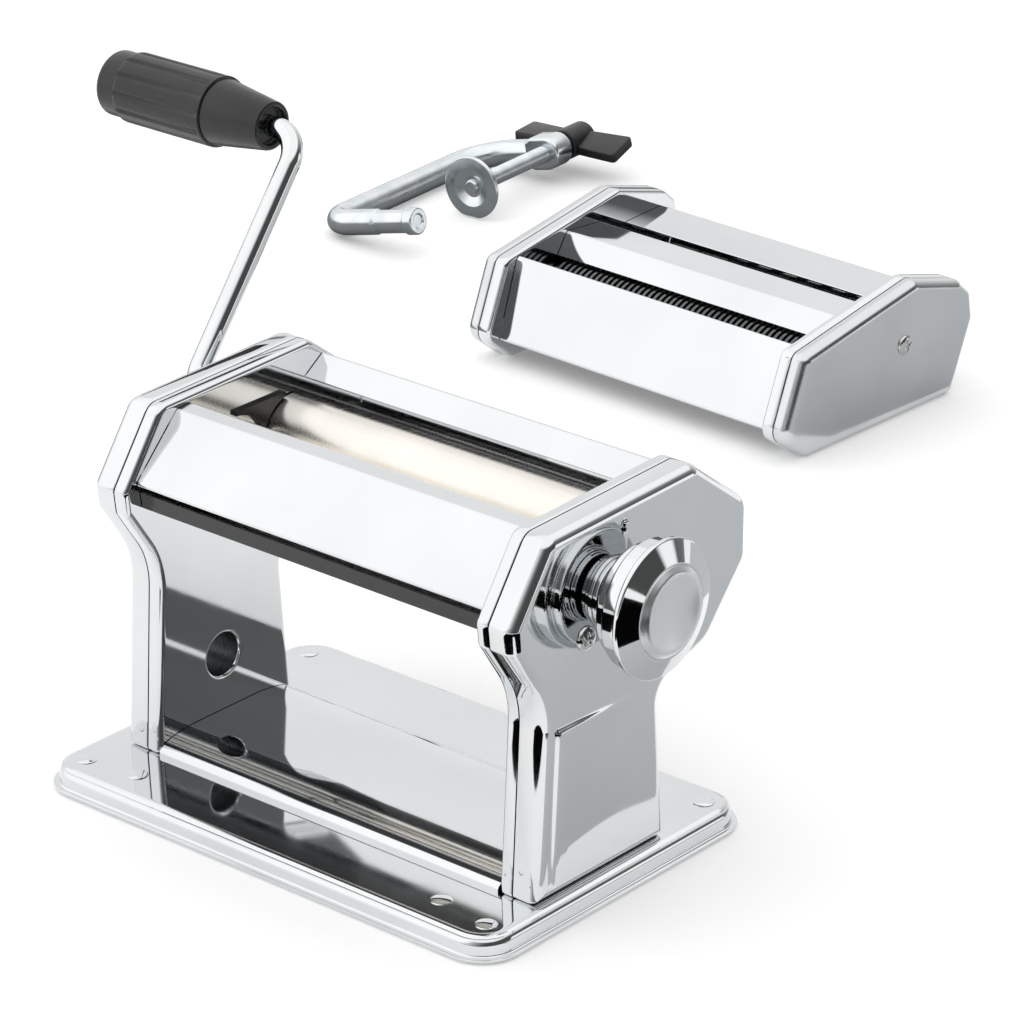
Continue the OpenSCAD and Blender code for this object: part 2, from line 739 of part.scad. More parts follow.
module left_side_plate() {
    color("gainsboro")
        difference() {
            mirror([1, 0, 0])
                stamped_plate(side_points, side_radii, plate_in, plate_flange);
            bar_x(neck_r + eccentric + 0.6, -plate_out - 1, -plate_in + 1, shaft_y, shaft_z);
            bar_x(journal_r + fit + plate_bush_wall + seat, -plate_out - 1, -plate_in + 1, drive_y, roller_z);
            bar_x(clamp_hole_r, -plate_out - 1, -plate_in + 1, clamp_hole_y, clamp_hole_z);
            shared_plate_holes(-plate_out - 1);
            foot_flange_holes();
        }
}

module right_side_plate() {
    color("gainsboro")
        difference() {
            stamped_plate(side_points, side_radii, plate_in, plate_flange);
            bar_x(shaft_end_r + fit + plate_bush_wall + seat, plate_in - 1, plate_out + 1, shaft_y, shaft_z);
            bar_x(journal_r + fit + plate_bush_wall + seat, plate_in - 1, plate_out + 1, drive_y, roller_z);
            shared_plate_holes(plate_in - 1);
            foot_flange_holes();
        }
}

tie_places = [[hood_bend_y - 1, hood_low_z + 6], [back_y - 15, roller_z + 1]];

module shared_plate_holes(from) {
    for (p = tie_places)
        bar_x(tie_end_r + seat, from, from + plate_t + 2, p[0], p[1]);
}

module foot_flange_holes() {
    for (p = base_screw_places)
        translate([p[0], p[1], base_top_z - 1])
            cylinder(r = screw_r + seat, h = plate_t + 2);
}

module left_cover() {
    color("gainsboro")
        difference() {
            mirror([1, 0, 0])
                drawn_cover(side_points, side_radii, cover_in, cover_out, cover_edge_r);
            bar_x(crank_r + 1.5, -cover_out - 1, -cover_in, drive_y, roller_z);
            bar_x(screw_r + seat, -cover_out - 1, -cover_in, cover_screw_y, left_screw_z);
        }
}

module right_cover() {
    color("gainsboro")
        difference() {
            drawn_cover(side_points, side_radii, cover_in, cover_out, cover_edge_r);
            bar_x(shaft_end_r + 1, cover_in, cover_out + 1, shaft_y, shaft_z);
            bar_x(screw_r + seat, cover_in, cover_out + 1, cover_screw_y, right_screw_z);
        }
}

module front_hood() {
    lip = [4.5, -5.5];
    hem = [3, -1.8];
    path = [[hood_low_y, hood_low_z] + hem, [hood_low_y, hood_low_z], [hood_bend_y, hood_bend_z],
        [hood_bend_y + hood_top_d, hood_bend_z + 0.6], [hood_bend_y + hood_top_d, hood_bend_z + 0.6] + lip];
    color("gainsboro")
        folded_panel(path, -panel_t);
}

// Points of the outline's back that the back panel follows, moved inwards
back_corner_top = inset_corner(side_points, 5, back_panel_inset);
back_corner_low = inset_corner(side_points, 4, back_panel_inset);

module hopper_panel() {
    ridge = [3.4, -2.6];
    low = back_corner_low + 9 * unit(side_points[3] - side_points[4]);
    path = [[hopper_low_y, hopper_low_z], [hopper_top_y, hopper_top_z],
        [hopper_top_y, hopper_top_z] + ridge, back_corner_top, back_corner_low, low];
    color("gainsboro")
        folded_panel(path, -panel_t);
}

// Guards under the rollers: each leads a scraper to its roller
front_guard_in = 2;
front_guard_drop = 3.2;
guard_edge = 1;
rear_guard_in = 10;
rear_guard_lip = 5;
rear_guard_drop = 3;
front_guard_path = [[hood_low_y + front_guard_in, hood_low_z - front_guard_drop],
    [hood_low_y + front_guard_in + guard_edge, hood_low_z - front_guard_drop - guard_h],
    [adjust_y - roller_r, roller_z - roller_r + guard_edge / 2]];
rear_guard_path = [[back_y - rear_guard_in, roller_z - roller_r - rear_guard_drop],
    [back_y - rear_guard_in - rear_guard_lip, roller_z - roller_r - rear_guard_drop - guard_edge],
    [drive_y + roller_r - guard_edge, roller_z - roller_r]];
scraper_t = 1;
scraper_seat = [8, 6];
scraper_len = [11, 5];

module front_guard() {
    color("#26282b")
        folded_panel(front_guard_path, panel_t);
}

module rear_guard() {
    color("#26282b")
        folded_panel(rear_guard_path, -panel_t);
}

// Blade from a guard's upper face to a point near a roller
module scraper_blade(root, tip, t) {
    translate([-panel_end, 0, 0])
        along_x(2 * panel_end)
            polygon(sheet([root, tip], t));
}

module front_scraper() {
    dir = unit(front_guard_path[2] - front_guard_path[1]);
    root = front_guard_path[2] - scraper_seat[0] * dir + (panel_t + seat) * left_of(dir);
    color("silver")
        scraper_blade(root, root + scraper_len[0] * dir, scraper_t);
}

module rear_scraper() {
    dir = unit(rear_guard_path[2] - rear_guard_path[1]);
    root = rear_guard_path[2] - scraper_seat[1] * dir - (panel_t + seat) * left_of(dir);
    color("silver")
        scraper_blade(root, root + scraper_len[1] * dir, -scraper_t);
}

// Plates that close the ends of the hopper, cut out round the rollers
module dough_guards() {
    top = roller_z + dough_guard_h;
    room = roller_r + 0.7;
    color("silver")
        for (side = [-1, 1])
            translate([side > 0 ? plate_in - dough_guard_t : -plate_in, 0, 0])
                along_x(dough_guard_t)
                    difference() {
                        translate([adjust_y + 3, roller_z + 4])
                            square([drive_y - adjust_y - 6, dough_guard_h - 4]);
                        translate([drive_y, roller_z])
                            circle(room);
                        for (y = [adjust_y, adjust_y + gap_travel])
                            translate([y, adjust_z])
                                circle(room);
                    }
}

module tie_rods() {
    nut_reach = 5;
    color("silver")
        for (p = tie_places) {
            bar_x(tie_r, -plate_in, plate_in, p[0], p[1]);
            bar_x(tie_end_r, -plate_out - nut_reach, plate_out + nut_reach, p[0], p[1]);
        }
}

module tie_nuts() {
    nut_w = 3.5;
    color("silver")
        for (p = tie_places, side = [-1, 1])
            difference() {
                translate([side > 0 ? plate_out : -plate_out - nut_w, p[0], p[1]])
                    rotate([0, 90, 0])
                        cylinder(r = tie_end_r * 2, h = nut_w, $fn = 6);
                bar_x(tie_end_r + seat, -cover_out, cover_out, p[0], p[1]);
            }
}

module drive_bushes() {
    color("darkgoldenrod") {
        plate_bush(journal_r, drive_y, roller_z);
        mirror([1, 0, 0])
            plate_bush(journal_r, drive_y, roller_z);
    }
}

module adjuster_bush() {
    color("darkgoldenrod")
        plate_bush(shaft_end_r, shaft_y, shaft_z);
}

// Strap outside the gears: two eyes, a bar between them, and a crossbar on two posts
bridge_mid = (shaft_y + drive_y) / 2;
bridge_post_z = roller_r + tooth_up + eccentric + post_r - 1;

module gear_bridge() {
    eye_r = 9;
    color("silver")
        difference() {
            union() {
                bar_x(eye_r, -bridge_out, -bridge_in, shaft_y, shaft_z);
                bar_x(eye_r, -bridge_out, -bridge_in, drive_y, roller_z);
                translate([-bridge_out, shaft_y, shaft_z - 6])
                    cube([bridge_t, drive_y - shaft_y, 12]);
                translate([-bridge_out, bridge_mid - post_r, roller_z - bridge_post_z - post_r])
                    cube([bridge_t, 2 * post_r, 2 * (bridge_post_z + post_r)]);
                for (side = [-1, 1])
                    bar_x(post_r - 0.6, -bridge_out, -plate_out, bridge_mid, roller_z + side * bridge_post_z);
            }
            bar_x(shaft_end_r + fit, -bridge_out - 1, -bridge_in + 1, shaft_y, shaft_z);
            bar_x(journal_r + 0.5, -bridge_out - 1, -bridge_in + 1, drive_y, roller_z);
        }
}

module clamp_socket() {
    color("silver")
        difference() {
            bar_x(clamp_hole_r + socket_wall, -cover_out + cover_t, -plate_out, clamp_hole_y, clamp_hole_z);
            bar_x(clamp_hole_r, -cover_out, -plate_in, clamp_hole_y, clamp_hole_z);
        }
}

module cover_posts() {
    color("silver") {
        difference() {
            bar_x(post_r, plate_out, cover_out - cover_t, cover_screw_y, right_screw_z);
            bar_x(screw_r + seat, plate_out + 4, cover_out, cover_screw_y, right_screw_z);
        }
        difference() {
            bar_x(post_r, -cover_out + cover_t, -plate_out, cover_screw_y, left_screw_z);
            bar_x(screw_r + seat, -cover_out, -plate_out - 4, cover_screw_y, left_screw_z);
        }
    }
}

module cover_screws() {
    color("silver")
        for (side = [-1, 1])
            translate([side * cover_out, cover_screw_y, side > 0 ? right_screw_z : left_screw_z])
                rotate([0, side * 90, 0])
                    cross_screw(cover_t + 6);
}

module index_collar() {
    bore = shaft_end_r + 1;
    step_h = collar_h / collar_steps;
    steps_r = [for (k = [0:collar_steps - 1]) collar_r - 0.8 * k];
    section = concat([[bore, 0]],
        [for (k = [0:collar_steps - 1]) each [[steps_r[k], k * step_h], [steps_r[k], (k + 1) * step_h]]],
        [[bore, collar_h]]);
    color("gainsboro")
        translate([cover_out, 0, 0])
            turned_x(shaft_y, shaft_z)
                polygon(section);
}

// Hexagonal socket or tip along X
module hex_x(r, from, to, y, z) {
    translate([from, y, z])
        rotate([0, 90, 0])
            cylinder(r = r, h = to - from, $fn = 6);
}

module drive_roller() {
    right_end = plate_out + bush_flange_t + 1.5;
    color("whitesmoke")
        difference() {
            union() {
                bar_x(roller_r, -roller_end, roller_end, drive_y, roller_z);
                bar_x(journal_r, -socket_mouth, right_end, drive_y, roller_z);
            }
            place_crank()
                hex_x(crank_r + crank_flat, -socket_mouth - 1, -crank_tip + 0.5, 0, 0);
        }
}

// Gear on the left-hand side: turn is the angle of its first tooth
module roller_gear(bore, y, z, turn) {
    translate([-gear_out, y, z])
        along_x(gear_w)
            rotate(turn)
                difference() {
                    polygon(gear_points(teeth, roller_r, tooth_up, tooth_down, tooth_root_half,
                        tooth_tip_half));
                    circle(bore);
                }
}

module drive_gear() {
    color("lightgray")
        roller_gear(journal_r + seat, drive_y, roller_z, 0);
}

module adjuster_gear() {
    color("lightgray")
        roller_gear(neck_r + seat, adjust_y, adjust_z, 180 / teeth);
}

module eccentric_shaft() {
    color("silver") {
        bar_x(shaft_r, -gear_out, roller_end - 0.4, adjust_y, adjust_z);
        bar_x(shaft_end_r, -bridge_out - 0.6, -gear_out, shaft_y, shaft_z);
        bar_x(shaft_end_r, roller_end - 0.4, retainer_in, shaft_y, shaft_z);
    }
}

module roller_bushes() {
    right = roller_end - 0.8;
    color("darkgoldenrod")
        for (x = [-gear_out, right - bush_len])
            difference() {
                bar_x(bush_out_r, x, x + bush_len, adjust_y, adjust_z);
                bar_x(shaft_r + fit, x - 1, x + bush_len + 1, adjust_y, adjust_z);
            }
}

module adjustable_roller() {
    color("whitesmoke")
        difference() {
            union() {
                bar_x(roller_r, -roller_end, roller_end, adjust_y, adjust_z);
                bar_x(neck_r, -gear_out, -roller_end, adjust_y, adjust_z);
            }
            bar_x(bush_out_r + fit, -gear_out - 1, roller_end + 1, adjust_y, adjust_z);
        }
}

module adjuster_knob() {
    bore = shaft_end_r + fit;
    cavity = spring_r + 0.6;
    section = [[bore, knob_back], [knob_skirt_r - 1, knob_back], [knob_skirt_r, knob_back + 1],
        [knob_skirt_r, knob_band], [knob_band_r, knob_band + 0.8], [knob_band_r, knob_lip],
        [knob_r, knob_lip + 0.5], [knob_r, knob_shoulder], [knob_disc_r + 0.5, knob_face],
        [knob_disc_r, knob_face], [knob_disc_r, disc_seat], [cavity, disc_seat],
        [cavity, knob_back + knob_floor], [bore, knob_back + knob_floor]];
    color("gainsboro")
        turned_x(shaft_y, shaft_z)
            polygon(section);
}

module knob_disc() {
    rim = knob_disc_r - seat;
    dish = [for (k = [0:6]) [rim * 0.92 * k / 6, knob_front - knob_dish * (1 - pow(k / 6, 2))]];
    color("lightgray")
        turned_x(shaft_y, shaft_z)
            polygon(concat([[0, disc_seat]], dish, [[rim, knob_front - 1], [rim, disc_seat]]));
}

module knob_spring() {
    from = knob_back + knob_floor + 0.1;
    color("dimgray")
        difference() {
            bar_x(spring_r, from, retainer_in - 0.1, shaft_y, shaft_z);
            bar_x(spring_r - spring_wire, from - 1, retainer_in + 1, shaft_y, shaft_z);
        }
}

module knob_retainer() {
    color("silver")
        bar_x(spring_r, retainer_in, retainer_in + retainer_t, shaft_y, shaft_z);
}

// The crank leans about the driven roller's axis
module place_crank() {
    translate([0, drive_y, roller_z])
        rotate([-crank_lean, 0, 0])
            children();
}

module crank_rod() {
    rod_end = grip_end - grip_end_len;
    color("gainsboro")
        place_crank() {
            hex_x(crank_r, -socket_mouth, -crank_tip, 0, 0);
            bar_x(crank_r, -crank_x + crank_bend_r, -socket_mouth, 0, 0);
            translate([-crank_x + crank_bend_r, 0, crank_bend_r])
                quarter_bend(crank_r, crank_bend_r, 180);
            translate([-crank_x, 0, crank_bend_r])
                cylinder(r = crank_r, h = crank_arm - 2 * crank_bend_r);
            translate([-crank_x - crank_bend_r, 0, crank_arm - crank_bend_r])
                quarter_bend(crank_r, crank_bend_r, 0);
            bar_x(crank_r, -rod_end, -crank_x - crank_bend_r, 0, crank_arm);
        }
}

module crank_grip() {
    bore = crank_r + fit;
    taper_end = grip_start + grip_taper_len;
    rib_end = taper_end + grip_rib_len;
    rod_room = grip_end - grip_end_len + 0.5;
    recess = 2.5;
    section = [[bore, -grip_start - recess], [grip_small_r - 2, -grip_start - recess],
        [grip_small_r - 1.6, -grip_start], [grip_small_r, -grip_start - 0.4],
        [grip_r - 1, -taper_end + 0.6], [grip_r, -taper_end], [grip_r, -rib_end],
        [grip_end_r, -rib_end - 0.4], [grip_end_r, -grip_end + 2], [grip_end_r - 2, -grip_end],
        [0, -grip_end], [0, -rod_room], [bore, -rod_room]];
    color("#3a3b3d")
        place_crank()
            difference() {
                turned_x(0, crank_arm)
                    polygon(section);
                for (k = [0:grip_grooves - 1])
                    translate([0, 0, crank_arm])
                        rotate([k * 360 / grip_grooves, 0, 0])
                            bar_x(grip_groove, -rib_end + 2, -taper_end - 2, 0, grip_r);
            }
}

module place_cutter() {
    translate([cutter_x, cutter_y, 0])
        rotate([0, 0, cutter_turn])
            children();
}

cutter_axes = [[fine_y, fine_z], [fine_y + cutter_pair, fine_z], [wide_y, wide_z],
    [wide_y + cutter_pair, wide_z]];
cutter_tie_places = [[51, 13], [52, 37]];
cutter_right_screw = [69.5, 32];
cutter_left_screw = [51, 28];

module cutter_plate_holes(from) {
    for (a = cutter_axes)
        bar_x(cutter_journal_r + fit, from, from + plate_t + 2, a[0], a[1]);
    for (p = cutter_tie_places)
        bar_x(tie_end_r + seat, from, from + plate_t + 2, p[0], p[1]);
}

module cutter_left_plate() {
    color("gainsboro")
        place_cutter()
            difference() {
                mirror([1, 0, 0])
                    stamped_plate(cutter_points, cutter_radii, cut_in, cutter_flange);
                cutter_plate_holes(-cut_out - 1);
            }
}

module cutter_right_plate() {
    color("gainsboro")
        place_cutter()
            difference() {
                stamped_plate(cutter_points, cutter_radii, cut_in, cutter_flange);
                cutter_plate_holes(cut_in - 1);
            }
}

module cutter_left_cap() {
    color("lightgray")
        place_cutter()
            difference() {
                mirror([1, 0, 0])
                    drawn_cover(cutter_points, cutter_radii, cut_cap_in, cut_cap_out, cutter_edge_r);
                for (i = [0, 2])
                    bar_x(crank_r + 1.5, -cut_cap_out - 1, -cut_cap_in, cutter_axes[i][0],
                        cutter_axes[i][1]);
                bar_x(screw_r + seat, -cut_cap_out - 1, -cut_cap_in, cutter_left_screw[0],
                    cutter_left_screw[1]);
            }
}

module cutter_right_cap() {
    color("lightgray")
        place_cutter()
            difference() {
                drawn_cover(cutter_points, cutter_radii, cut_cap_in, cut_cap_out, cutter_edge_r);
                bar_x(screw_r + seat, cut_cap_in, cut_cap_out + 1, cutter_right_screw[0],
                    cutter_right_screw[1]);
            }
}

module cutter_front_panel() {
    color("gainsboro")
        place_cutter()
            folded_panel(cutter_front_path, -panel_t, cut_panel_end);
}

module cutter_middle_panel() {
    color("gainsboro")
        place_cutter()
            folded_panel(cutter_middle_path, -panel_t, cut_panel_end);
}

module cutter_rear_panel() {
    color("gainsboro")
        place_cutter()
            folded_panel(cutter_rear_path, -panel_t, cut_panel_end);
}

module cutter_tie_rods() {
    nut_reach = 2;
    color("silver")
        place_cutter()
            for (p = cutter_tie_places) {
                bar_x(tie_r, -cut_in, cut_in, p[0], p[1]);
                bar_x(tie_end_r, -cut_out - nut_reach, cut_out + nut_reach, p[0], p[1]);
            }
}

module cutter_cap_screws() {
    color("silver")
        place_cutter() {
            translate([cut_cap_out, cutter_right_screw[0], cutter_right_screw[1]])
                rotate([0, 90, 0])
                    cross_screw(cut_cap_out - cut_out);
            translate([-cut_cap_out, cutter_left_screw[0], cutter_left_screw[1]])
                rotate([0, -90, 0])
                    cross_screw(cut_cap_out - cut_out);
        }
}

// Discs and grooves along a roller: each entry is from, to and whether it is a disc
function disc_edges(strip, shift) =
    let (half = floor(cut_roller_end / strip) - 1)
    let (cuts = [for (k = [-half:half]) k * strip])
    concat([[-cut_roller_end, cuts[0], false]],
        [for (k = [0:len(cuts) - 2])
            let (disc = (k + shift) % 2 == 0, side = disc ? disc_side / 2 : -disc_side / 2)
                [cuts[k] + side, cuts[k + 1] - side, disc]],
        [[cuts[len(cuts) - 1], cut_roller_end, false]]);

// Cutting roller: discs, journals, and a socket for the crank if it is the driven one
module cutting_roller(i, strip, shift, driven) {
    left_end = driven ? cut_cap_out - cover_t - 0.6 : cut_gear_in + cutter_gear_w;
    edges = disc_edges(strip, shift);
    color("silver")
        place_cutter()
            difference() {
                union() {
                    turned_x(cutter_axes[i][0], cutter_axes[i][1])
                        polygon(disc_section(edges, cutter_r, cutter_groove));
                    bar_x(cutter_journal_r, -left_end, cut_out + 2, cutter_axes[i][0], cutter_axes[i][1]);
                }
                if (driven)
                    hex_x(crank_r + crank_flat, -left_end - 1, -left_end + crank_hex_len + 1,
                        cutter_axes[i][0], cutter_axes[i][1]);
            }
}

module fine_front_roller() {
    cutting_roller(0, fine_strip, 0, true);
}

module fine_rear_roller() {
    cutting_roller(1, fine_strip, 1, false);
}

module wide_front_roller() {
    cutting_roller(2, wide_strip, 0, true);
}

module wide_rear_roller() {
    cutting_roller(3, wide_strip, 1, false);
}

module cutter_gear(i, turn) {
    color("lightgray")
        place_cutter()
            translate([-cut_gear_in - cutter_gear_w, cutter_axes[i][0], cutter_axes[i][1]])
                along_x(cutter_gear_w)
                    rotate(turn)
                        difference() {
                            polygon(gear_points(cut_teeth, cutter_pair / 2, cut_tooth_up, cut_tooth_down,
                                cut_root_half, cut_tip_half));
                            circle(cutter_journal_r + seat);
                        }
}

module cutter_gears_fine_front() {
    cutter_gear(0, 0);
}

module cutter_gears_fine_rear() {
    cutter_gear(1, 180 / cut_teeth);
}

module cutter_gears_wide_front() {
    cutter_gear(2, 0);
}

module cutter_gears_wide_rear() {
    cutter_gear(3, 180 / cut_teeth);
}

// Bars under the rollers whose teeth lie below the discs and strip the dough
module cutter_combs() {
    comb_t = 2;
    drop = cutter_r + 1;
    color("#26282b")
        place_cutter()
            for (a = cutter_axes)
                translate([-cut_panel_end, a[0] - 4, a[1] - drop - comb_t])
                    cube([2 * cut_panel_end, 8, comb_t]);
}

module place_clamp() {
    translate([clamp_x, clamp_y, clamp_rod_r])
        rotate([0, 0, clamp_turn])
            rotate([0, -clamp_tilt, 0])
                children();
}

// Quarter bend of a round rod in the XY plane, from angle start
module flat_bend(r, bend_r, start) {
    rotate([0, 0, start])
        rotate_extrude(angle = 90)
            translate([bend_r, 0])
                circle(r);
}

// Round bar along Y
module bar_y(r, from, to, x, z) {
    translate([x, from, z])
        rotate([-90, 0, 0])
            cylinder(r = r, h = to - from);
}

module clamp_rod() {
    neck = pin_arm - pin_bead_len - pin_neck_len;
    color("silver")
        place_clamp()
            difference() {
                union() {
                    bar_x(clamp_rod_r, pin_bend_r, neck, 0, 0);
                    bar_x(pin_neck_r, neck, pin_arm - pin_bead_len, 0, 0);
                    bar_x(pin_bead_r, pin_arm - pin_bead_len, pin_arm, 0, 0);
                    translate([pin_bend_r, pin_bend_r, 0])
                        flat_bend(clamp_rod_r, pin_bend_r, 180);
                    bar_y(clamp_rod_r, pin_bend_r, clamp_len - screw_bend_r, 0, 0);
                    translate([screw_bend_r, clamp_len - screw_bend_r, 0])
                        flat_bend(clamp_rod_r, screw_bend_r, 90);
                    bar_x(clamp_rod_r, screw_bend_r, screw_offset, clamp_len, 0);
                    translate([screw_offset - boss_reach, clamp_len, 0])
                        along_x(2 * boss_reach)
                            scale([boss_len / (2 * boss_r), 1])
                                circle(boss_r);
                }
                bar_y(screw_thread_r + fit, clamp_len - boss_len, clamp_len + boss_len, screw_offset, 0);
            }
}

// Turned piece on the clamp screw's axis: its section is radius and distance along Y
module turned_y() {
    translate([screw_offset, 0, 0])
        rotate([-90, 0, 0])
            rotate_extrude()
                children();
}

screw_neck_r = 2.6;
pad_hub_r = 5.5;
pad_hub_len = 5;

module clamp_pad() {
    bore = screw_neck_r + fit;
    section = [[bore, pad_y + pad_dish - pad_t], [bore + 2.4, pad_y + pad_dish - pad_t],
        [pad_r * 0.62, pad_y], [pad_r, pad_y], [pad_r, pad_y + pad_t], [pad_r * 0.66, pad_y + pad_t],
        [pad_hub_r, pad_y + pad_dish + 0.6], [pad_hub_r, pad_y + pad_dish + pad_hub_len],
        [bore, pad_y + pad_dish + pad_hub_len]];
    color("silver")
        place_clamp()
            turned_y()
                polygon(section);
}

module clamp_screw() {
    head_y = pad_y + pad_dish - pad_t - 0.1;
    start = pad_y + pad_dish + pad_hub_len + 0.2;
    end = wing_y + wing_hub_len - 3;
    depth = 0.55 * screw_pitch;
    turns = floor((end - start) / screw_pitch);
    thread = [for (k = [0:turns - 1]) each [[screw_thread_r - depth, start + k * screw_pitch],
        [screw_thread_r, start + (k + 0.5) * screw_pitch]]];
    color("silver")
        place_clamp()
            turned_y()
                polygon(concat([[0, head_y - 1.4], [screw_neck_r + 1.2, head_y - 1.4],
                    [screw_neck_r + 1.2, head_y], [screw_neck_r, head_y], [screw_neck_r, start]], thread,
                    [[screw_thread_r - depth, start + turns * screw_pitch],
                    [0, start + turns * screw_pitch]]));
}

module clamp_wing() {
    color("#2c2d2f")
        place_clamp()
            difference() {
                union() {
                    bar_y(wing_hub_r, wing_y, wing_y + wing_hub_len, screw_offset, 0);
                    for (side = [-1, 1])
                        translate([screw_offset, wing_y + wing_hub_len / 2, 0])
                            rotate([0, wing_turn, 0])
                                rotate([wing_pitch + side * wing_twist, 0, 0])
                                    translate([side > 0 ? 0 : -wing_len / 2, -wing_w / 2, -wing_t / 2])
                                        cube([wing_len / 2, wing_w, wing_t]);
                }
                bar_y(screw_thread_r + seat, wing_y - 1, wing_y + wing_hub_len - 2.5, screw_offset, 0);
            }
}

base_plate();
rubber_feet();
foot_rivets();
front_rivets();
base_screws();
floor_pan();
left_side_plate();
right_side_plate();
left_cover();
right_cover();
front_hood();
hopper_panel();
front_guard();
rear_guard();
front_scraper();
rear_scraper();
dough_guards();
tie_rods();
tie_nuts();
drive_bushes();
adjuster_bush();
gear_bridge();
clamp_socket();
cover_posts();
cover_screws();
index_collar();
drive_roller();
drive_gear();
eccentric_shaft();
roller_bushes();
adjustable_roller();
adjuster_gear();
adjuster_knob();
knob_disc();
knob_spring();
knob_retainer();
crank_rod();
crank_grip();
cutter_left_plate();
cutter_right_plate();
cutter_left_cap();
cutter_right_cap();
cutter_front_panel();
cutter_middle_panel();
cutter_rear_panel();
cutter_tie_rods();
cutter_cap_screws();
cutter_combs();
fine_front_roller();
fine_rear_roller();
wide_front_roller();
wide_rear_roller();
cutter_gears_fine_front();
cutter_gears_fine_rear();
cutter_gears_wide_front();
cutter_gears_wide_rear();
clamp_rod();
clamp_pad();
clamp_screw();
clamp_wing();
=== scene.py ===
# %% [markdown]
# A hand-cranked pasta machine with its table clamp and a separate noodle cutter. The construction comes
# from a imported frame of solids. This lesson dresses it: pressed chrome shells, turned and bent parts,
# moulded plastic, and a small white studio whose dark flag gives the chrome its black lines.

# %% Load the frame
import math

import bmesh
import bpy
from mathutils import Matrix, Vector


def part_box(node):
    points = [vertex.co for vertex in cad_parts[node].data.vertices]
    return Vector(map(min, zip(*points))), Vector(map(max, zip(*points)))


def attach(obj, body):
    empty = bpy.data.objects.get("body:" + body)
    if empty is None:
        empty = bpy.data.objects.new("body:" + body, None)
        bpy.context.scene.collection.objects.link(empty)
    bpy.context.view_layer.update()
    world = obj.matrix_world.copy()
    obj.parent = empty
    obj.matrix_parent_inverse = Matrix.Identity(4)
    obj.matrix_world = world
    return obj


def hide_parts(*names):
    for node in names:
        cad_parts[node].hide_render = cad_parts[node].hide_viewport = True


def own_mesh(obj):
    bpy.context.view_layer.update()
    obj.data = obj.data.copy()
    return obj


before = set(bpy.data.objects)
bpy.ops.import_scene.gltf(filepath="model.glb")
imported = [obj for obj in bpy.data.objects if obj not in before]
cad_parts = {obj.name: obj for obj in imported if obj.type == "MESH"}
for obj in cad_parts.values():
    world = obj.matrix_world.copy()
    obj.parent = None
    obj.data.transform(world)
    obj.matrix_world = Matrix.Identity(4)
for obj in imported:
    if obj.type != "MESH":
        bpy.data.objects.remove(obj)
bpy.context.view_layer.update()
MM = 0.001

# %% [markdown]
# The camera stands where the photograph was taken: in front, to the right and a little above, with a long
# lens. Its numbers come from lining up the edges of the base and of the panels.

# %% Camera
CAMERA_PLACE = (0.952044, -1.058545, 0.734)
CAMERA_TURN = 40.402
CAMERA_DROP = 23.636
CAMERA_LENS = 162.39

camera = bpy.data.objects.new("camera", bpy.data.cameras.new("camera"))
camera.data.lens = CAMERA_LENS
camera.data.sensor_width = 36.0
camera.location = CAMERA_PLACE
camera.rotation_euler = (math.radians(90 - CAMERA_DROP), 0, math.radians(CAMERA_TURN))
bpy.context.scene.collection.objects.link(camera)
bpy.context.scene.camera = camera
print("camera lens", camera.data.lens)

# %% [markdown]
# Pressed sheet has rounded corners everywhere, and chrome shows every fault in them. So outlines are lists
# of corners with radii, and one function turns the corners into arcs. It can also move the outline to its
# left, with the radii following, which gives the many rings of a rolled edge. A short support beside each
# arc keeps the flats flat when the normals are smoothed.

# %% Outlines
def left_of(way):
    return Vector((-way.y, way.x))


def corner_beside(points, i, shift):
    """Corner i of a closed outline after the outline has moved to its left"""
    here = Vector(points[i])
    a = left_of((here - Vector(points[i - 1])).normalized())
    b = left_of((Vector(points[(i + 1) % len(points)]) - here).normalized())
    return here + (a + b) * shift / (1 + a.dot(b))


def rounded(points, radii, closed=True, shift=0.0, steps=8, support=0.3):
    """Outline with its corners as arcs, moved to its left by shift"""
    corners = [Vector(p) for p in points]
    last = len(corners) - 1
    out = []
    for i, corner in enumerate(corners):
        if not closed and i in (0, last):
            way = corners[1] - corners[0] if i == 0 else corners[last] - corners[last - 1]
            out.append(corner + left_of(way.normalized()) * shift)
            continue
        come = (corner - corners[i - 1]).normalized()
        leave = (corners[(i + 1) % len(corners)] - corner).normalized()
        side = 1 if come.x * leave.y - come.y * leave.x > 0 else -1
        half = come.angle(leave) / 2
        moved = corner_beside(points, i, shift)
        radius = max(radii[i] - side * shift, 0.05)
        reach = radius * math.tan(half)
        centre = moved - come * reach + left_of(come) * radius * side
        out.append(moved - come * (reach + support))
        for k in range(steps + 1):
            arm = left_of(come) * -side * radius
            arm.rotate(Matrix.Rotation(side * 2 * half * k / steps, 2))
            out.append(centre + arm)
        out.append(moved + leave * (reach + support))
    return out


def quarter(steps=10):
    """Sine and one minus cosine over a quarter turn"""
    turns = [math.pi / 2 * k / steps for k in range(steps + 1)]
    return [(math.sin(t), 1 - math.cos(t)) for t in turns]


print("corner arcs use", len(rounded([(0, 0), (9, 0), (9, 9)], [1, 1, 1])), "points for three corners")

# %% [markdown]
# Nearly every piece is a stack of rings joined by quads: a pressed shell, a turned knob, a bent rod. Three
# small helpers join rings, close an end, and close an end that has holes in it.

# %% Rings to surfaces
def skin(bm, rings, across=True, loop=False):
    """Joins rings of equal point counts with quads and returns the rows of vertices"""
    rows = [[bm.verts.new(p) for p in ring] for ring in rings]
    pairs = list(zip(rows, rows[1:]))
    if loop:
        pairs.append((rows[-1], rows[0]))
    for a, b in pairs:
        join(bm, a, b, across)
    return rows


def join(bm, a, b, across=True):
    """Quads between two rows of vertices"""
    count = len(a)
    for i in range(count if across else count - 1):
        j = (i + 1) % count
        bm.faces.new((a[i], a[j], b[j], b[i]))


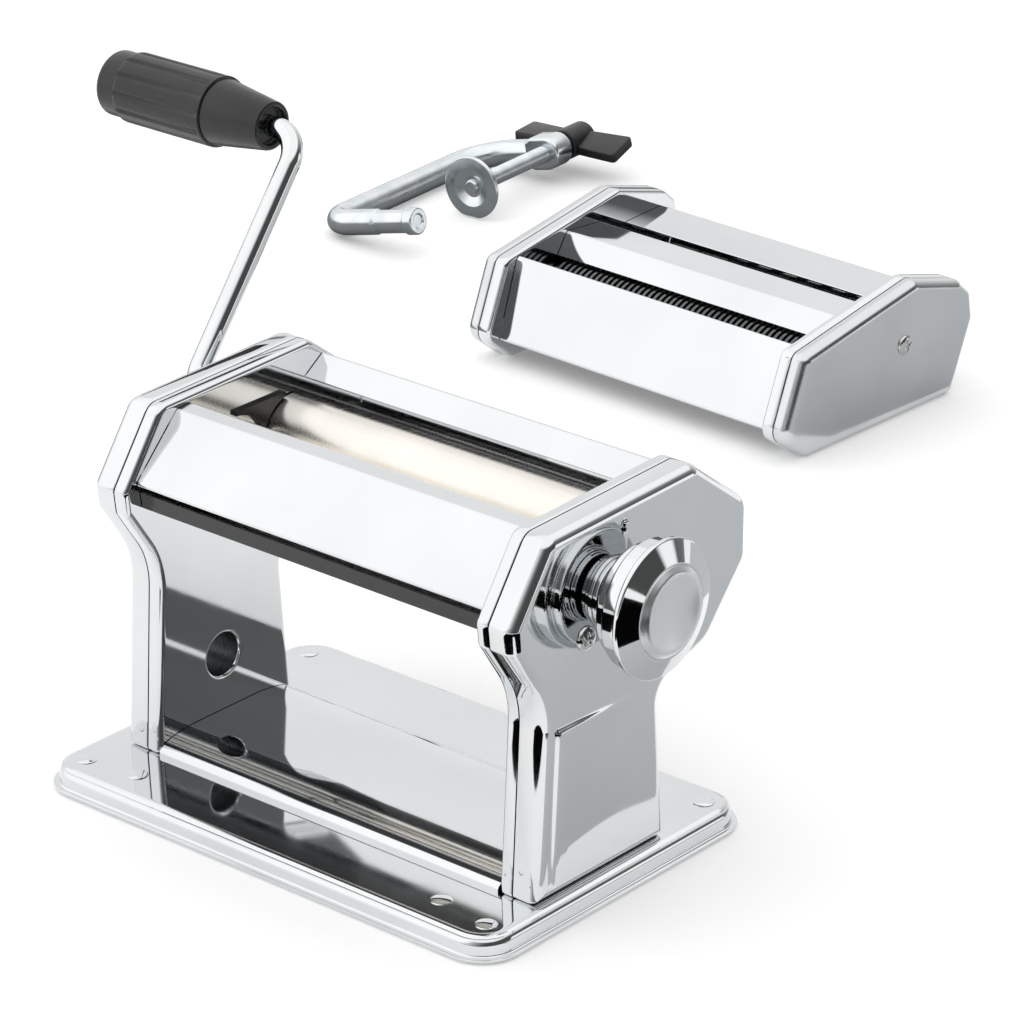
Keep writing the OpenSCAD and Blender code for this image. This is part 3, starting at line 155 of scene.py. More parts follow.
def close(bm, row):
    return bm.faces.new(row)


def close_with_holes(bm, row, holes):
    """Flat end with round holes: the rows of the holes' vertices stay open"""
    edges = []
    for loop in [row] + holes:
        for a, b in zip(loop, loop[1:] + loop[:1]):
            edges.append(bm.edges.get((a, b)) or bm.edges.new((a, b)))
    bmesh.ops.triangle_fill(bm, use_beauty=True, edges=edges)


def circle_x(x, r, y, z, count=48):
    """Points of a circle round an axis along X"""
    turns = [2 * math.pi * k / count for k in range(count)]
    return [(x, y + r * math.cos(t), z + r * math.sin(t)) for t in turns]


print("ring helpers ready")

# %% [markdown]
# Each finished mesh is made in millimetres and then set down in metres. The same function gives it its
# material and the body that it moves with, and hides the solids that it stands for.

# %% Setting a piece down
pieces = {}


def put(name, bm, finish, body, nodes=(), place=None, sharp=38, keep_normals=False):
    """Turns a bmesh in millimetres into a piece of the object"""
    if not keep_normals:
        bmesh.ops.recalc_face_normals(bm, faces=bm.faces)
    mesh = bpy.data.meshes.new(name)
    bm.to_mesh(mesh)
    bm.free()
    mesh.transform(Matrix.Scale(MM, 4) @ (place or Matrix.Identity(4)))
    mesh.shade_smooth()
    mesh.set_sharp_from_angle(angle=math.radians(sharp))
    mesh.materials.append(finish)
    piece = bpy.data.objects.new(name, mesh)
    bpy.context.scene.collection.objects.link(piece)
    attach(piece, body)
    if nodes:
        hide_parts(*nodes)
    pieces[name] = piece
    print(name, len(mesh.polygons), "faces")
    return piece


def dress(finish, *nodes):
    """Gives solids that are right as they are their finish"""
    for node in nodes:
        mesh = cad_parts[node].data
        mesh.materials.clear()
        mesh.materials.append(finish)


# %% [markdown]
# Materials start from what they are. One function turns an sRGB hex colour into linear light, one adds a
# shader node, and one starts a material with its shader and coordinates in millimetres.

# %% Material helpers
def linear(colour):
    """Linear colour of an sRGB hex value"""
    parts = [int(colour[i:i + 2], 16) / 255 for i in (1, 3, 5)]
    return [p / 12.92 if p <= 0.04045 else ((p + 0.055) / 1.055) ** 2.4 for p in parts] + [1.0]


def add(tree, kind, **settings):
    """Adds a node: a setting is a property, an input's value, or a socket to link from"""
    node = tree.nodes.new(kind)
    for name, value in settings.items():
        plain = name.replace("_", " ")
        if plain in node.inputs and not hasattr(node, name):
            socket = node.inputs[plain]
            if isinstance(value, bpy.types.NodeSocket):
                tree.links.new(value, socket)
            else:
                socket.default_value = value
        else:
            setattr(node, name, value)
    return node


def start(name, metallic, roughness, colour):
    """New material with its shader, and a point in millimetres for its patterns"""
    finish = bpy.data.materials.new(name)
    finish.use_nodes = True
    tree = finish.node_tree
    shader = tree.nodes["Principled BSDF"]
    shader.inputs["Metallic"].default_value = metallic
    shader.inputs["Roughness"].default_value = roughness
    shader.inputs["Base Color"].default_value = linear(colour)
    place = add(tree, "ShaderNodeTexCoord").outputs["Object"]
    in_mm = add(tree, "ShaderNodeVectorMath", operation="SCALE")
    tree.links.new(place, in_mm.inputs[0])
    in_mm.inputs["Scale"].default_value = 1 / MM
    return finish, tree, shader, in_mm.outputs["Vector"]


def vary(tree, shader, point, pattern_mm, socket, low, high, detail=3.0):
    """Lets a shader value wander between low and high with soft patches of a size in millimetres"""
    noise = add(tree, "ShaderNodeTexNoise", Vector=point, Scale=1 / pattern_mm, Detail=detail)
    span = add(tree, "ShaderNodeMapRange", Value=noise.outputs["Fac"])
    span.inputs["From Min"].default_value = 0.3
    span.inputs["From Max"].default_value = 0.7
    span.inputs["To Min"].default_value = low
    span.inputs["To Max"].default_value = high
    tree.links.new(span.outputs["Result"], shader.inputs[socket])


def tint(tree, shader, point, pattern_mm, colour_a, colour_b, detail=3.0):
    """Lets the colour wander between two shades"""
    noise = add(tree, "ShaderNodeTexNoise", Vector=point, Scale=1 / pattern_mm, Detail=detail)
    ramp = add(tree, "ShaderNodeValToRGB", Fac=noise.outputs["Fac"])
    ramp.color_ramp.elements[0].position = 0.35
    ramp.color_ramp.elements[0].color = linear(colour_a)
    ramp.color_ramp.elements[1].position = 0.65
    ramp.color_ramp.elements[1].color = linear(colour_b)
    tree.links.new(ramp.outputs["Color"], shader.inputs["Base Color"])


def relief(tree, shader, point, pattern_mm, height_mm, detail=2.0):
    """Fine bumps of a size and height in millimetres"""
    noise = add(tree, "ShaderNodeTexNoise", Vector=point, Scale=1 / pattern_mm, Detail=detail)
    bump = add(tree, "ShaderNodeBump", Height=noise.outputs["Fac"], Strength=1.0, Distance=height_mm * MM)
    tree.links.new(bump.outputs["Normal"], shader.inputs["Normal"])


print("material helpers ready")

# %% [markdown]
# Polished chrome plate: steel sheet that is pressed, buffed and plated. It is a clear mirror whose faint
# waviness comes from the press, with a little more haze where it was buffed less.

# %% Chrome finishes
def polished_chrome():
    finish, tree, shader, point = start("polished_chrome_plate", 1.0, 0.05, "#dcdedf")
    tint(tree, shader, point, 60, "#d9dbdd", "#dfe1e2")
    vary(tree, shader, point, 25, "Roughness", 0.035, 0.075)
    relief(tree, shader, point, 22, 0.004)
    return finish


def satin_chrome():
    finish, tree, shader, point = start("satin_chrome_plate", 1.0, 0.2, "#d2d4d5")
    tint(tree, shader, point, 40, "#cfd1d3", "#d6d8d9")
    vary(tree, shader, point, 18, "Roughness", 0.14, 0.2)
    relief(tree, shader, point, 14, 0.004)
    return finish


def frosted_chrome():
    finish, tree, shader, point = start("bead_blasted_chrome_plate", 1.0, 0.32, "#e8eaeb")
    vary(tree, shader, point, 6, "Roughness", 0.28, 0.36)
    relief(tree, shader, point, 0.5, 0.004)
    return finish


CHROME = polished_chrome()
SATIN = satin_chrome()
FROSTED = frosted_chrome()
print(CHROME.name, SATIN.name, FROSTED.name)

# %% [markdown]
# Plain steels: rollers are ground round and nickelled, so they look warm and carry fine rings; gears,
# shafts and posts are turned or cut; the clamp is bright zinc plate, bluish and slightly patchy.

# %% Steels
def ground_steel(name, colour_a, colour_b, rough_low, rough_high):
    finish, tree, shader, point = start(name, 1.0, rough_high, colour_b)
    tint(tree, shader, point, 30, colour_a, colour_b)
    stretch = add(tree, "ShaderNodeMapping", Vector=point)
    stretch.inputs["Scale"].default_value = (3.0, 0.05, 0.05)
    vary(tree, shader, stretch.outputs["Vector"], 1.2, "Roughness", rough_low, rough_high)
    relief(tree, shader, stretch.outputs["Vector"], 1.2, 0.003)
    return finish


def zinc_plate():
    finish, tree, shader, point = start("bright_zinc_plate", 1.0, 0.24, "#dbe0e3")
    tint(tree, shader, point, 9, "#d5dbdf", "#e3e6e7")
    vary(tree, shader, point, 5, "Roughness", 0.16, 0.28)
    relief(tree, shader, point, 3, 0.012)
    return finish


def brass():
    finish, tree, shader, point = start("turned_brass", 1.0, 0.3, "#c9a35a")
    tint(tree, shader, point, 8, "#c39b50", "#d0ac66")
    vary(tree, shader, point, 3, "Roughness", 0.24, 0.36)
    return finish


ROLLER = ground_steel("ground_nickelled_steel", "#e6e2da", "#efeae2", 0.2, 0.3)
CUTTER_STEEL = ground_steel("oiled_cutter_steel", "#5c5e60", "#6c6e70", 0.22, 0.32)
STEEL = ground_steel("turned_steel", "#b4b6b8", "#c2c4c6", 0.25, 0.36)
GEAR = ground_steel("cut_gear_steel", "#9a9da0", "#a8abad", 0.3, 0.4)
NICKEL = ground_steel("nickelled_screw_steel", "#cfcfcd", "#dbdbd9", 0.12, 0.2)
ZINC = zinc_plate()
BRASS = brass()
print("steels", ROLLER.name, ZINC.name, BRASS.name)

# %% [markdown]
# Moulded plastics: the crank grip is near-black polypropylene with a fine spark-eroded grain, the clamp's
# wing and the guards are black, and the feet are rubber.

# %% Plastics and rubber
def moulded(name, colour_a, colour_b, rough, grain_mm, grain_height_mm, ior=1.49):
    finish, tree, shader, point = start(name, 0.0, rough, colour_b)
    shader.inputs["IOR"].default_value = ior
    tint(tree, shader, point, 12, colour_a, colour_b)
    vary(tree, shader, point, 7, "Roughness", rough - 0.05, rough + 0.05)
    relief(tree, shader, point, grain_mm, grain_height_mm)
    return finish


GRIP = moulded("moulded_polypropylene", "#1b1c1e", "#222325", 0.27, 0.5, 0.006)
WING = moulded("moulded_black_nylon", "#161719", "#1d1e20", 0.36, 0.6, 0.012, 1.53)
GUARD = moulded("moulded_black_abs", "#0b0b0c", "#121214", 0.2, 0.6, 0.004, 1.54)
RUBBER = moulded("foot_rubber", "#1d1d1e", "#262627", 0.75, 0.8, 0.02, 1.52)
print("plastics", GRIP.name, WING.name, GUARD.name)

# %% [markdown]
# The base is a shallow tray pressed from sheet: a thin flange at the bottom, a short wall and a rounded
# shoulder up to a flat mirror top. It is a stack of rounded rectangles, each moved in and up a little.

# %% Base tray
BASE_X, BASE_W, BASE_D, BASE_TOP, BASE_LIFT = -3.3, 208.0, 141.0, 9.0, 1.0
BASE_CORNER_R, BASE_EDGE_R, BASE_FLANGE, BASE_SHEET = 15.0, 4.0, 2.2, 1.0


def base_ring(inset, z):
    corners = [(-1, -1), (1, -1), (1, 1), (-1, 1)]
    points = [(BASE_X + x * BASE_W / 2, y * BASE_D / 2) for x, y in corners]
    return [(p.x, p.y, z) for p in rounded(points, [BASE_CORNER_R] * 4, shift=inset, steps=12)]


def base_tray():
    bm = bmesh.new()
    wall_z = BASE_TOP - BASE_EDGE_R
    flange_top = BASE_LIFT + BASE_SHEET
    root = 0.8
    inside = BASE_FLANGE + BASE_SHEET
    steps = [(inside, BASE_LIFT), (0.4, BASE_LIFT), (0.1, BASE_LIFT + 0.15), (0, BASE_LIFT + 0.5),
             (0.1, flange_top - 0.15), (0.4, flange_top), (BASE_FLANGE - root - 0.1, flange_top)]
    steps += [(BASE_FLANGE - root + root * s, flange_top + root * c) for s, c in quarter(5)]
    steps += [(BASE_FLANGE + BASE_EDGE_R * c, wall_z + BASE_EDGE_R * s) for s, c in quarter(12)]
    steps += [(BASE_FLANGE + BASE_EDGE_R + 0.4, BASE_TOP)]
    rows = skin(bm, [base_ring(*s) for s in steps])
    close(bm, rows[-1])
    under = skin(bm, [base_ring(inside, z) for z in (wall_z, BASE_TOP - BASE_SHEET)])
    join(bm, rows[0], under[0])
    close(bm, under[1])
    return put("base_tray", bm, CHROME, "frame", ["base_plate"])


base_tray()

# %% [markdown]
# Rivets and screws are small, but they catch the light. A rivet is a low dome turned from a few points. A
# screw has a domed head with a cross cut into it.

# %% Turned pieces
def turned(bm, section, axis=(0.0, 0.0), count=64, loop=False):
    """Surface of revolution about an axis along X: the section is a list of X and radius"""
    rings = [circle_x(x, r, axis[0], axis[1], count) for x, r in section]
    return skin(bm, rings, loop=loop)


def turned_solid(bm, section, axis=(0.0, 0.0), count=64):
    rows = turned(bm, section, axis, count)
    close(bm, rows[0])
    close(bm, rows[-1])


UP = Matrix.Rotation(-math.pi / 2, 4, "Y")


def dome(r, height, rim=0.25, steps=8):
    """Section of a low dome: X is the height"""
    ball = (r * r + height * height) / (2 * height)
    top = [height * k / steps for k in range(1, steps)]
    arc = [(rim + x * (1 - rim / height), math.sqrt(ball ** 2 - (x + ball - height) ** 2)) for x in top]
    return [(-0.4, r), (0, r), (rim * 0.6, r)] + arc + [(height - 0.001, 0.35)]


RIVET_R, RIVET_H = 3.8, 0.7
FOOT_X, FOOT_Y = BASE_W / 2 - 12, BASE_D / 2 - 13.5
FRONT_RIVET_X, FRONT_RIVET_Y = 70.0, 16.5 - BASE_D / 2


def rivets(name, places, nodes):
    bm = bmesh.new()
    for x, y in places:
        first = len(bm.verts)
        turned_solid(bm, dome(RIVET_R, RIVET_H), count=32)
        bm.verts.ensure_lookup_table()
        bmesh.ops.transform(bm, matrix=Matrix.Translation((x, y, BASE_TOP)) @ UP, verts=bm.verts[first:])
    return put(name, bm, CHROME, "frame", nodes)


corner_places = [(BASE_X + x * FOOT_X, y * FOOT_Y) for x in (-1, 1) for y in (-1, 1)]
front_places = [(BASE_X + s * FRONT_RIVET_X, FRONT_RIVET_Y) for s in (-1, 1)]
rivets("foot_rivet_heads", corner_places, ["foot_rivets"])
rivets("front_rivet_heads", front_places, ["front_rivets"])
dress(RUBBER, "rubber_feet")
dress(NICKEL, "base_screws")

# %% [markdown]
# The floor pan lies between the two stands. Its front and back edges roll down to the base in a flat
# ellipse. Like the other panels it is the section of a folded sheet, drawn out along the rollers.

# %% Folded panels
PLATE_IN, PLATE_T = 78.0, 1.2
PANEL_END, PANEL_T = 77.7, 0.8


def sheet_section(outer, inner):
    """Closed section of a sheet between two paths, with half-round edges"""
    def edge(a, b, steps=4):
        middle, arm = (a + b) / 2, (a - b) / 2
        turned_arms = [Matrix.Rotation(-math.pi * k / (steps + 1), 2) @ arm for k in range(1, steps + 1)]
        return [middle + t for t in turned_arms]
    return outer + edge(outer[-1], inner[-1]) + inner[::-1] + edge(inner[0], outer[0])


def folded(bm, path, radii, sheet=PANEL_T, half=PANEL_END, steps=8):
    """Panel along X from an open path of Y and Z: the sheet lies to the right of the path"""
    outer = rounded(path, radii, closed=False, steps=steps)
    inner = rounded(path, radii, closed=False, shift=-sheet, steps=steps)
    extrude_x(bm, sheet_section(outer, inner), half)


def extrude_x(bm, section, half):
    rows = skin(bm, [[(x, p.x, p.y) for p in section] for x in (-half, half)])
    close(bm, rows[0])
    close(bm, rows[1])


FOOT_FRONT, FOOT_BACK, PAN_H, PAN_ROLL = -38.5, 29.5, 6.0, 20.0


def pan_path(inset):
    """Front roll, flat top and back roll of the pan, moved inwards"""
    foot = 1.0
    wide, high = PAN_ROLL - inset, PAN_H - foot - inset
    roll = [Vector((inset + wide * c, foot + high * s)) for s, c in quarter(14)]
    front = [Vector((inset, 0))] + roll + [Vector((PAN_ROLL + 0.4, PAN_H - inset))]
    shift = Vector((FOOT_FRONT, BASE_TOP))
    back = [Vector((FOOT_BACK - p.x, BASE_TOP + p.y)) for p in reversed(front)]
    return [p + shift for p in front] + back


bm = bmesh.new()
extrude_x(bm, sheet_section(pan_path(0), pan_path(PANEL_T)), PANEL_END)
put("rolled_floor_pan", bm, CHROME, "frame", ["floor_pan"])

# %% [markdown]
# The stands and their covers share one outline, seen from the side: a narrow foot, a waist that sweeps
# forward to a nose, a nearly flat top and an angled back. The inner stand is a stamped plate with a
# rolled flange; the left one has the plunged hole that takes the clamp.

# %% Side outline and stands
SIDE = [(-38.5, 9), (29.5, 9), (25, 66), (51, 73.5), (71.5, 97.5), (71.5, 119), (43, 140.5), (-32, 138.5),
        (-50.5, 112), (-49.5, 103.5), (-34.5, 81)]
SIDE_R = [1.5, 1.5, 8, 14, 7, 7, 6, 6, 4, 2.5, 30]
FLANGE_END, COVER_IN, COVER_OUT = 83.5, 84.0, 94.5
STAND_ROLL, COVER_ROLL, COVER_T = 2.2, 4.5, 1.0
CLAMP_HOLE_R, CLAMP_HOLE_Y, CLAMP_HOLE_Z = 8.0, -5.0, 36.0


def outline_ring(points, radii, inset, x):
    return [(x, p.x, p.y) for p in rounded(points, radii, shift=inset)]


def stamped_stand(bm, points, radii, x_in, flange_end, roll, hole=None):
    """Plate with a rolled outward flange, on the right-hand side, and a plunged hole"""
    steps = [(roll + 0.5, x_in)]
    steps += [(roll - roll * s, x_in + roll * c) for s, c in quarter(8)]
    steps += [(0, flange_end - 0.3), (0.2, flange_end), (PLATE_T - 0.2, flange_end),
              (PLATE_T, flange_end - 0.3), (PLATE_T, x_in + PLATE_T), (roll + 0.5, x_in + PLATE_T)]
    rows = skin(bm, [outline_ring(points, radii, *s) for s in steps])
    if hole is None:
        close(bm, rows[0])
        close(bm, rows[-1])
        return
    y, z, r = hole
    plunge = 1.2
    lip = [(x_in, r + plunge + 0.3)] + [(x_in + plunge * c, r + plunge - plunge * s) for s, c in quarter(6)]
    rim = skin(bm, [circle_x(x, q, y, z, 64) for x, q in lip])
    close_with_holes(bm, rows[0], [rim[0]])
    close_with_holes(bm, rows[-1], [rim[-1]])


MIRROR = Matrix.Scale(-1, 4, (1, 0, 0))
bm = bmesh.new()
stamped_stand(bm, SIDE, SIDE_R, PLATE_IN, FLANGE_END, STAND_ROLL)
put("right_stand", bm, CHROME, "frame", ["right_side_plate"])
bm = bmesh.new()
stamped_stand(bm, SIDE, SIDE_R, PLATE_IN, FLANGE_END, STAND_ROLL, (CLAMP_HOLE_Y, CLAMP_HOLE_Z, CLAMP_HOLE_R))
bm.transform(MIRROR)
put("left_stand", bm, CHROME, "frame", ["left_side_plate"])
dress(STEEL, "clamp_socket", "cover_posts", "tie_rods", "tie_nuts", "gear_bridge", "eccentric_shaft")

# %% [markdown]
# The covers are deep-drawn shells with a generous rolled edge. The right one carries a raised pad on its
# leg, whose top is a crease that dies out towards the back, and a small index rib above the knob. The
# flat end is cut into strips where the relief is, and the strips' points are pushed out.

# %% Covers
def drawn_shell(bm, points, radii, x_in, x_out, roll, holes=()):
    """Shell with a rolled edge, on the right-hand side; returns its flat outer face if it has no holes"""
    steps = [(roll + 0.6, x_out)]
    steps += [(roll - roll * s, x_out - roll * c) for s, c in quarter(14)]
    steps += [(0, x_in + 0.3), (0.2, x_in), (COVER_T - 0.2, x_in), (COVER_T, x_in + 0.3)]
    small = roll - COVER_T
    steps += [(COVER_T + small * c, x_out - roll + small * s) for s, c in quarter(6)]
    steps += [(roll + 0.6, x_out - COVER_T)]
    rows = skin(bm, [outline_ring(points, radii, *s) for s in steps])
    rims = [skin(bm, [circle_x(x, r, y, z, 32) for x in (x_out, x_out - COVER_T)]) for y, z, r in holes]
    close_with_holes(bm, rows[-1], [rim[1] for rim in rims])
    if rims:
        close_with_holes(bm, rows[0], [rim[0] for rim in rims])
        return None
    return close(bm, rows[0])


def slice_face(bm, faces, point, way):
    """Cuts flat faces by a plane through a point, and returns all the faces"""
    parts = set(faces)
    geometry = list(parts) + [e for f in parts for e in f.edges] + [v for f in parts for v in f.verts]
    out = bmesh.ops.bisect_plane(bm, geom=list(set(geometry)), dist=1e-5, plane_co=point, plane_no=way)
    return [g for g in out["geom"] if isinstance(g, bmesh.types.BMFace)]


def ease(low, high, value):
    t = min(max((value - low) / (high - low), 0), 1)
    return t * t * (3 - 2 * t)


PAD_FRONT, PAD_BACK, PAD_STEP = Vector((-31.0, 70.0)), Vector((20.0, 69.0)), 1.3
PAD_EDGE, PAD_LEAN = -33.5, 4.0 / 72.0
RIB_Y, RIB_TOP, RIB_LOW, RIB_W, RIB_H = 5.3, 134.0, 128.5, 1.5, 1.1


def leg_relief(y, z):
    """How far the right cover's face stands out at a point: the leg's pad and the index rib"""
    along = (PAD_BACK - PAD_FRONT).normalized()
    across = left_of(along)
    here = Vector((y, z)) - PAD_FRONT
    fade = 1 - ease(0, (PAD_BACK - PAD_FRONT).length, here.dot(along))
    pad = PAD_STEP * fade * (1 - ease(-0.9, 0.9, here.dot(across)))
    pad *= ease(PAD_EDGE, PAD_EDGE + 2.5, y - (z - 9) * PAD_LEAN)
    rib = RIB_H * (1 - ease(RIB_W * 0.5, RIB_W, abs(y - RIB_Y)))
    rib *= ease(RIB_LOW, RIB_LOW + 1.5, z) * (1 - ease(RIB_TOP - 1.5, RIB_TOP, z))
    return pad + rib


def right_cover():
    bm = bmesh.new()
    faces = [drawn_shell(bm, SIDE, SIDE_R, COVER_IN, COVER_OUT, COVER_ROLL)]
    along = (PAD_BACK - PAD_FRONT).normalized()
    across = left_of(along)
    for off in (-4, -1.5, -0.9, -0.5, 0, 0.5, 0.9, 1.5, 4):
        at = PAD_FRONT + across * off
        faces = slice_face(bm, faces, (COVER_OUT, at.x, at.y), (0, across.x, across.y))
    for y in [RIB_Y + k * RIB_W / 4 for k in range(-5, 6)]:
        faces = slice_face(bm, faces, (COVER_OUT, y, 0), (0, 1, 0))
    for k in range(10):
        faces = slice_face(bm, faces, (COVER_OUT, PAD_EDGE - 0.2 + 0.3 * k, 9), (0, 1, -PAD_LEAN))
    for z in [RIB_LOW + 0.375 * k for k in range(5)] + [RIB_TOP - 0.375 * k for k in range(5)]:
        faces = slice_face(bm, faces, (COVER_OUT, 0, z), (0, 0, 1))
    for y in range(-28, 22, 4):
        faces = slice_face(bm, faces, (COVER_OUT, y, 0), (0, 1, 0))
    for v in {v for f in faces for v in f.verts}:
        v.co.x += leg_relief(v.co.y, v.co.z)
    return put("right_drawn_cover", bm, CHROME, "frame", ["right_cover"])


right_cover()
DRIVE_Y, ROLLER_Z = 31.0, 110.0
bm = bmesh.new()
drawn_shell(bm, SIDE, SIDE_R, COVER_IN, COVER_OUT, COVER_ROLL, [(DRIVE_Y, ROLLER_Z, 5.5)])
bm.transform(MIRROR)
put("left_drawn_cover", bm, CHROME, "frame", ["left_cover"])

# %% [markdown]
# Above the rollers, a hood slopes up from the front edge, and a hopper panel behind leads the dough in and
# turns down as the back of the machine. Both are folded sheets between the stands.

# %% Hood, hopper and guards
HOOD = [(-42.5, 112.2), (-45.5, 114), (-24.5, 135.4), (-17.5, 136), (-13, 130.5)]
HOOD_R = [0, 1.2, 2.2, 1.6, 0]
BACK_INSET = 2.0
bm = bmesh.new()
folded(bm, HOOD, HOOD_R)
put("front_hood_panel", bm, CHROME, "frame", ["front_hood"])

back_top = corner_beside(SIDE, 5, BACK_INSET)
back_low = corner_beside(SIDE, 4, BACK_INSET)
back_end = back_low + 9 * (Vector(SIDE[3]) - Vector(SIDE[4])).normalized()
hopper = [(39.5, 128), (49, 134.4), (52.4, 131.8), tuple(back_top), tuple(back_low), tuple(back_end)]
bm = bmesh.new()
folded(bm, hopper, [0, 1.6, 1.6, 5, 5, 0])
put("hopper_back_panel", bm, CHROME, "frame", ["hopper_panel"])
dress(GUARD, "front_guard", "rear_guard", "dough_guards")
dress(STEEL, "front_scraper", "rear_scraper")

# %% [markdown]
# The rollers are plain ground cylinders, so they stay as the solids have them, with their own finish. So do
# the gears behind the left cover and the bushes.

# %% Rollers
dress(ROLLER, "drive_roller", "adjustable_roller")
dress(BRASS, "drive_bushes", "adjuster_bush", "roller_bushes")
dress(GEAR, "drive_gear", "adjuster_gear")
print("rollers, gears and bushes dressed")

# %% [markdown]
# The adjusting knob is a thin-walled pressing: a skirt, a bright band, a lip, a conical face and a dished
# satin cup in the middle. It sits on a stepped collar. All three are turned about the shaft's axis.

# %% Knob and collar
SHAFT_AXIS = (1.455573, 108.729772)


def turned_section(points, radii, closed=True):
    """Section of X and radius with its corners rounded"""
    return [(p.x, p.y) for p in rounded(points, radii, closed=closed, steps=6, support=0.08)]


KNOB = [(101.5, 4.55), (101.5, 20), (105.7, 20), (105.7, 22.4), (112, 22.4), (112, 24.2), (113.9, 24.2),
        (117.2, 16.6), (117.2, 16), (115.8, 16), (115.8, 7.7), (104.5, 7.7), (104.5, 4.55)]
KNOB_R = [0.1, 1.2, 0.4, 1.0, 0.25, 0.7, 0.8, 0.2, 0.1, 0.1, 0.1, 0.1, 0.1]
bm = bmesh.new()
turned(bm, turned_section(KNOB, KNOB_R), SHAFT_AXIS, 128, loop=True)
put("adjusting_knob", bm, CHROME, "knob", ["adjuster_knob"])

CUP_R, CUP_FRONT, CUP_SEAT, CUP_DISH = 15.95, 119.3, 115.85, 2.4
CUP_LIP, DISH_R = 0.9, 10.5
rim = turned_section([(CUP_SEAT, 0.3), (CUP_SEAT, CUP_R), (117.25, CUP_R), (CUP_FRONT, 13.4),
                      (CUP_FRONT - CUP_LIP, DISH_R)], [0, 0.2, 0.5, 2.2, 0], closed=False)
dish = [(CUP_FRONT - CUP_DISH + (CUP_DISH - CUP_LIP) * (r / DISH_R) ** 2, r) for r in range(10, 0, -1)]
bm = bmesh.new()
turned_solid(bm, rim + dish + [(CUP_FRONT - CUP_DISH, 0.3)], SHAFT_AXIS, 128)
put("knob_dished_cup", bm, FROSTED, "knob", ["knob_disc"])

COLLAR_R, COLLAR_H, COLLAR_STEP = 13.0, 5.8, 0.8
collar = [(COVER_OUT, 5.5)]
for k in range(3):
    collar += [(COVER_OUT + COLLAR_H * k / 3, COLLAR_R - COLLAR_STEP * k),
               (COVER_OUT + COLLAR_H * (k + 1) / 3, COLLAR_R - COLLAR_STEP * k)]
collar += [(COVER_OUT + COLLAR_H, 5.5)]
bm = bmesh.new()
turned(bm, turned_section(collar, [0.1] + [0.5] * 6 + [0.1]), SHAFT_AXIS, 96, loop=True)
put("stepped_index_collar", bm, CHROME, "frame", ["index_collar"])
dress(STEEL, "knob_retainer")

# %% [markdown]
# A bent rod is a circle carried along a path of straight runs and arcs. The frame of each ring is carried
# on from the ring before, so the rod does not twist.

# %% Bent rods
def bent_path(points, bend_r, steps=14):
    """Centre line of a rod with its corners bent to a radius"""
    pts = [Vector(p) for p in points]
    out = [pts[0]]
    for before, here, after in zip(pts, pts[1:], pts[2:]):
        come, leave = (here - before).normalized(), (after - here).normalized()
        half = come.angle(leave) / 2
        inward = (leave - come).normalized()
        centre = here + inward * bend_r / math.cos(half)
        for k in range(steps + 1):
            t = -half + 2 * half * k / steps
            ahead = (come + leave).normalized()
            out.append(centre - inward * bend_r * math.cos(t) + ahead * bend_r * math.sin(t))
    return out + [pts[-1]]


def rod_rings(path, radius, count=40):
    """Rings along a path: radius is a number or a list"""
    ways = [(b - a).normalized() for a, b in zip(path, path[1:])]
    ways = [ways[0]] + [(a + b).normalized() for a, b in zip(ways, ways[1:])] + [ways[-1]]
    side = ways[0].orthogonal().normalized()
    rings = []
    for k, (place, way) in enumerate(zip(path, ways)):
        side = (side - way * side.dot(way)).normalized()
        up = way.cross(side)
        r = radius[k] if isinstance(radius, list) else radius
        turns = [2 * math.pi * i / count for i in range(count)]
        rings.append([place + (side * math.cos(t) + up * math.sin(t)) * r for t in turns])
    return rings


def rod(bm, path, radius, count=40):
    rows = skin(bm, rod_rings(path, radius, count))
    close(bm, rows[0])
    close(bm, rows[-1])


CRANK_R, CRANK_X, CRANK_ARM, CRANK_BEND, CRANK_LEAN = 4.0, -127.5, 103.0, 12.0, 37.2
CRANK_TIP, SOCKET_MOUTH = -72.9, -92.9
GRIP_START, GRIP_TAPER, GRIP_RIBS, GRIP_TAIL = -142.0, 25.0, 44.0, 9.5
GRIP_END = GRIP_START - GRIP_TAPER - GRIP_RIBS - GRIP_TAIL
CRANK = Matrix.Translation((0, DRIVE_Y, ROLLER_Z)) @ Matrix.Rotation(math.radians(-CRANK_LEAN), 4, "X")


def crank_rod():
    bm = bmesh.new()
    path = bent_path([(SOCKET_MOUTH, 0, 0), (CRANK_X, 0, 0), (CRANK_X, 0, CRANK_ARM),
                      (GRIP_END + GRIP_TAIL, 0, CRANK_ARM)], CRANK_BEND)
    rod(bm, path, CRANK_R)
    flat = circle_x(0, CRANK_R, 0, 0, 6)
    hexagon = [(CRANK_TIP, 0.85), (CRANK_TIP - 0.8, 1.0), (SOCKET_MOUTH, 1.0)]
    rows = skin(bm, [[(x, z * s, -y * s) for _, y, z in flat] for x, s in hexagon])
    close(bm, rows[0])
    close(bm, rows[-1])
    return put("bent_crank_rod", bm, CHROME, "crank", ["crank_rod"], CRANK)


crank_rod()

# %% [markdown]
# A spring inside the knob holds it in its setting. It is wound from round steel wire, and pulling the knob
# out presses its turns together against the retainer. A plain tube would do, since the knob hides it, but a
# rod carried along a helix is as short to write.

# %% Knob spring
SPRING_WIRE, SPRING_TURNS, SPRING_STEPS = 1.0, 4, 24


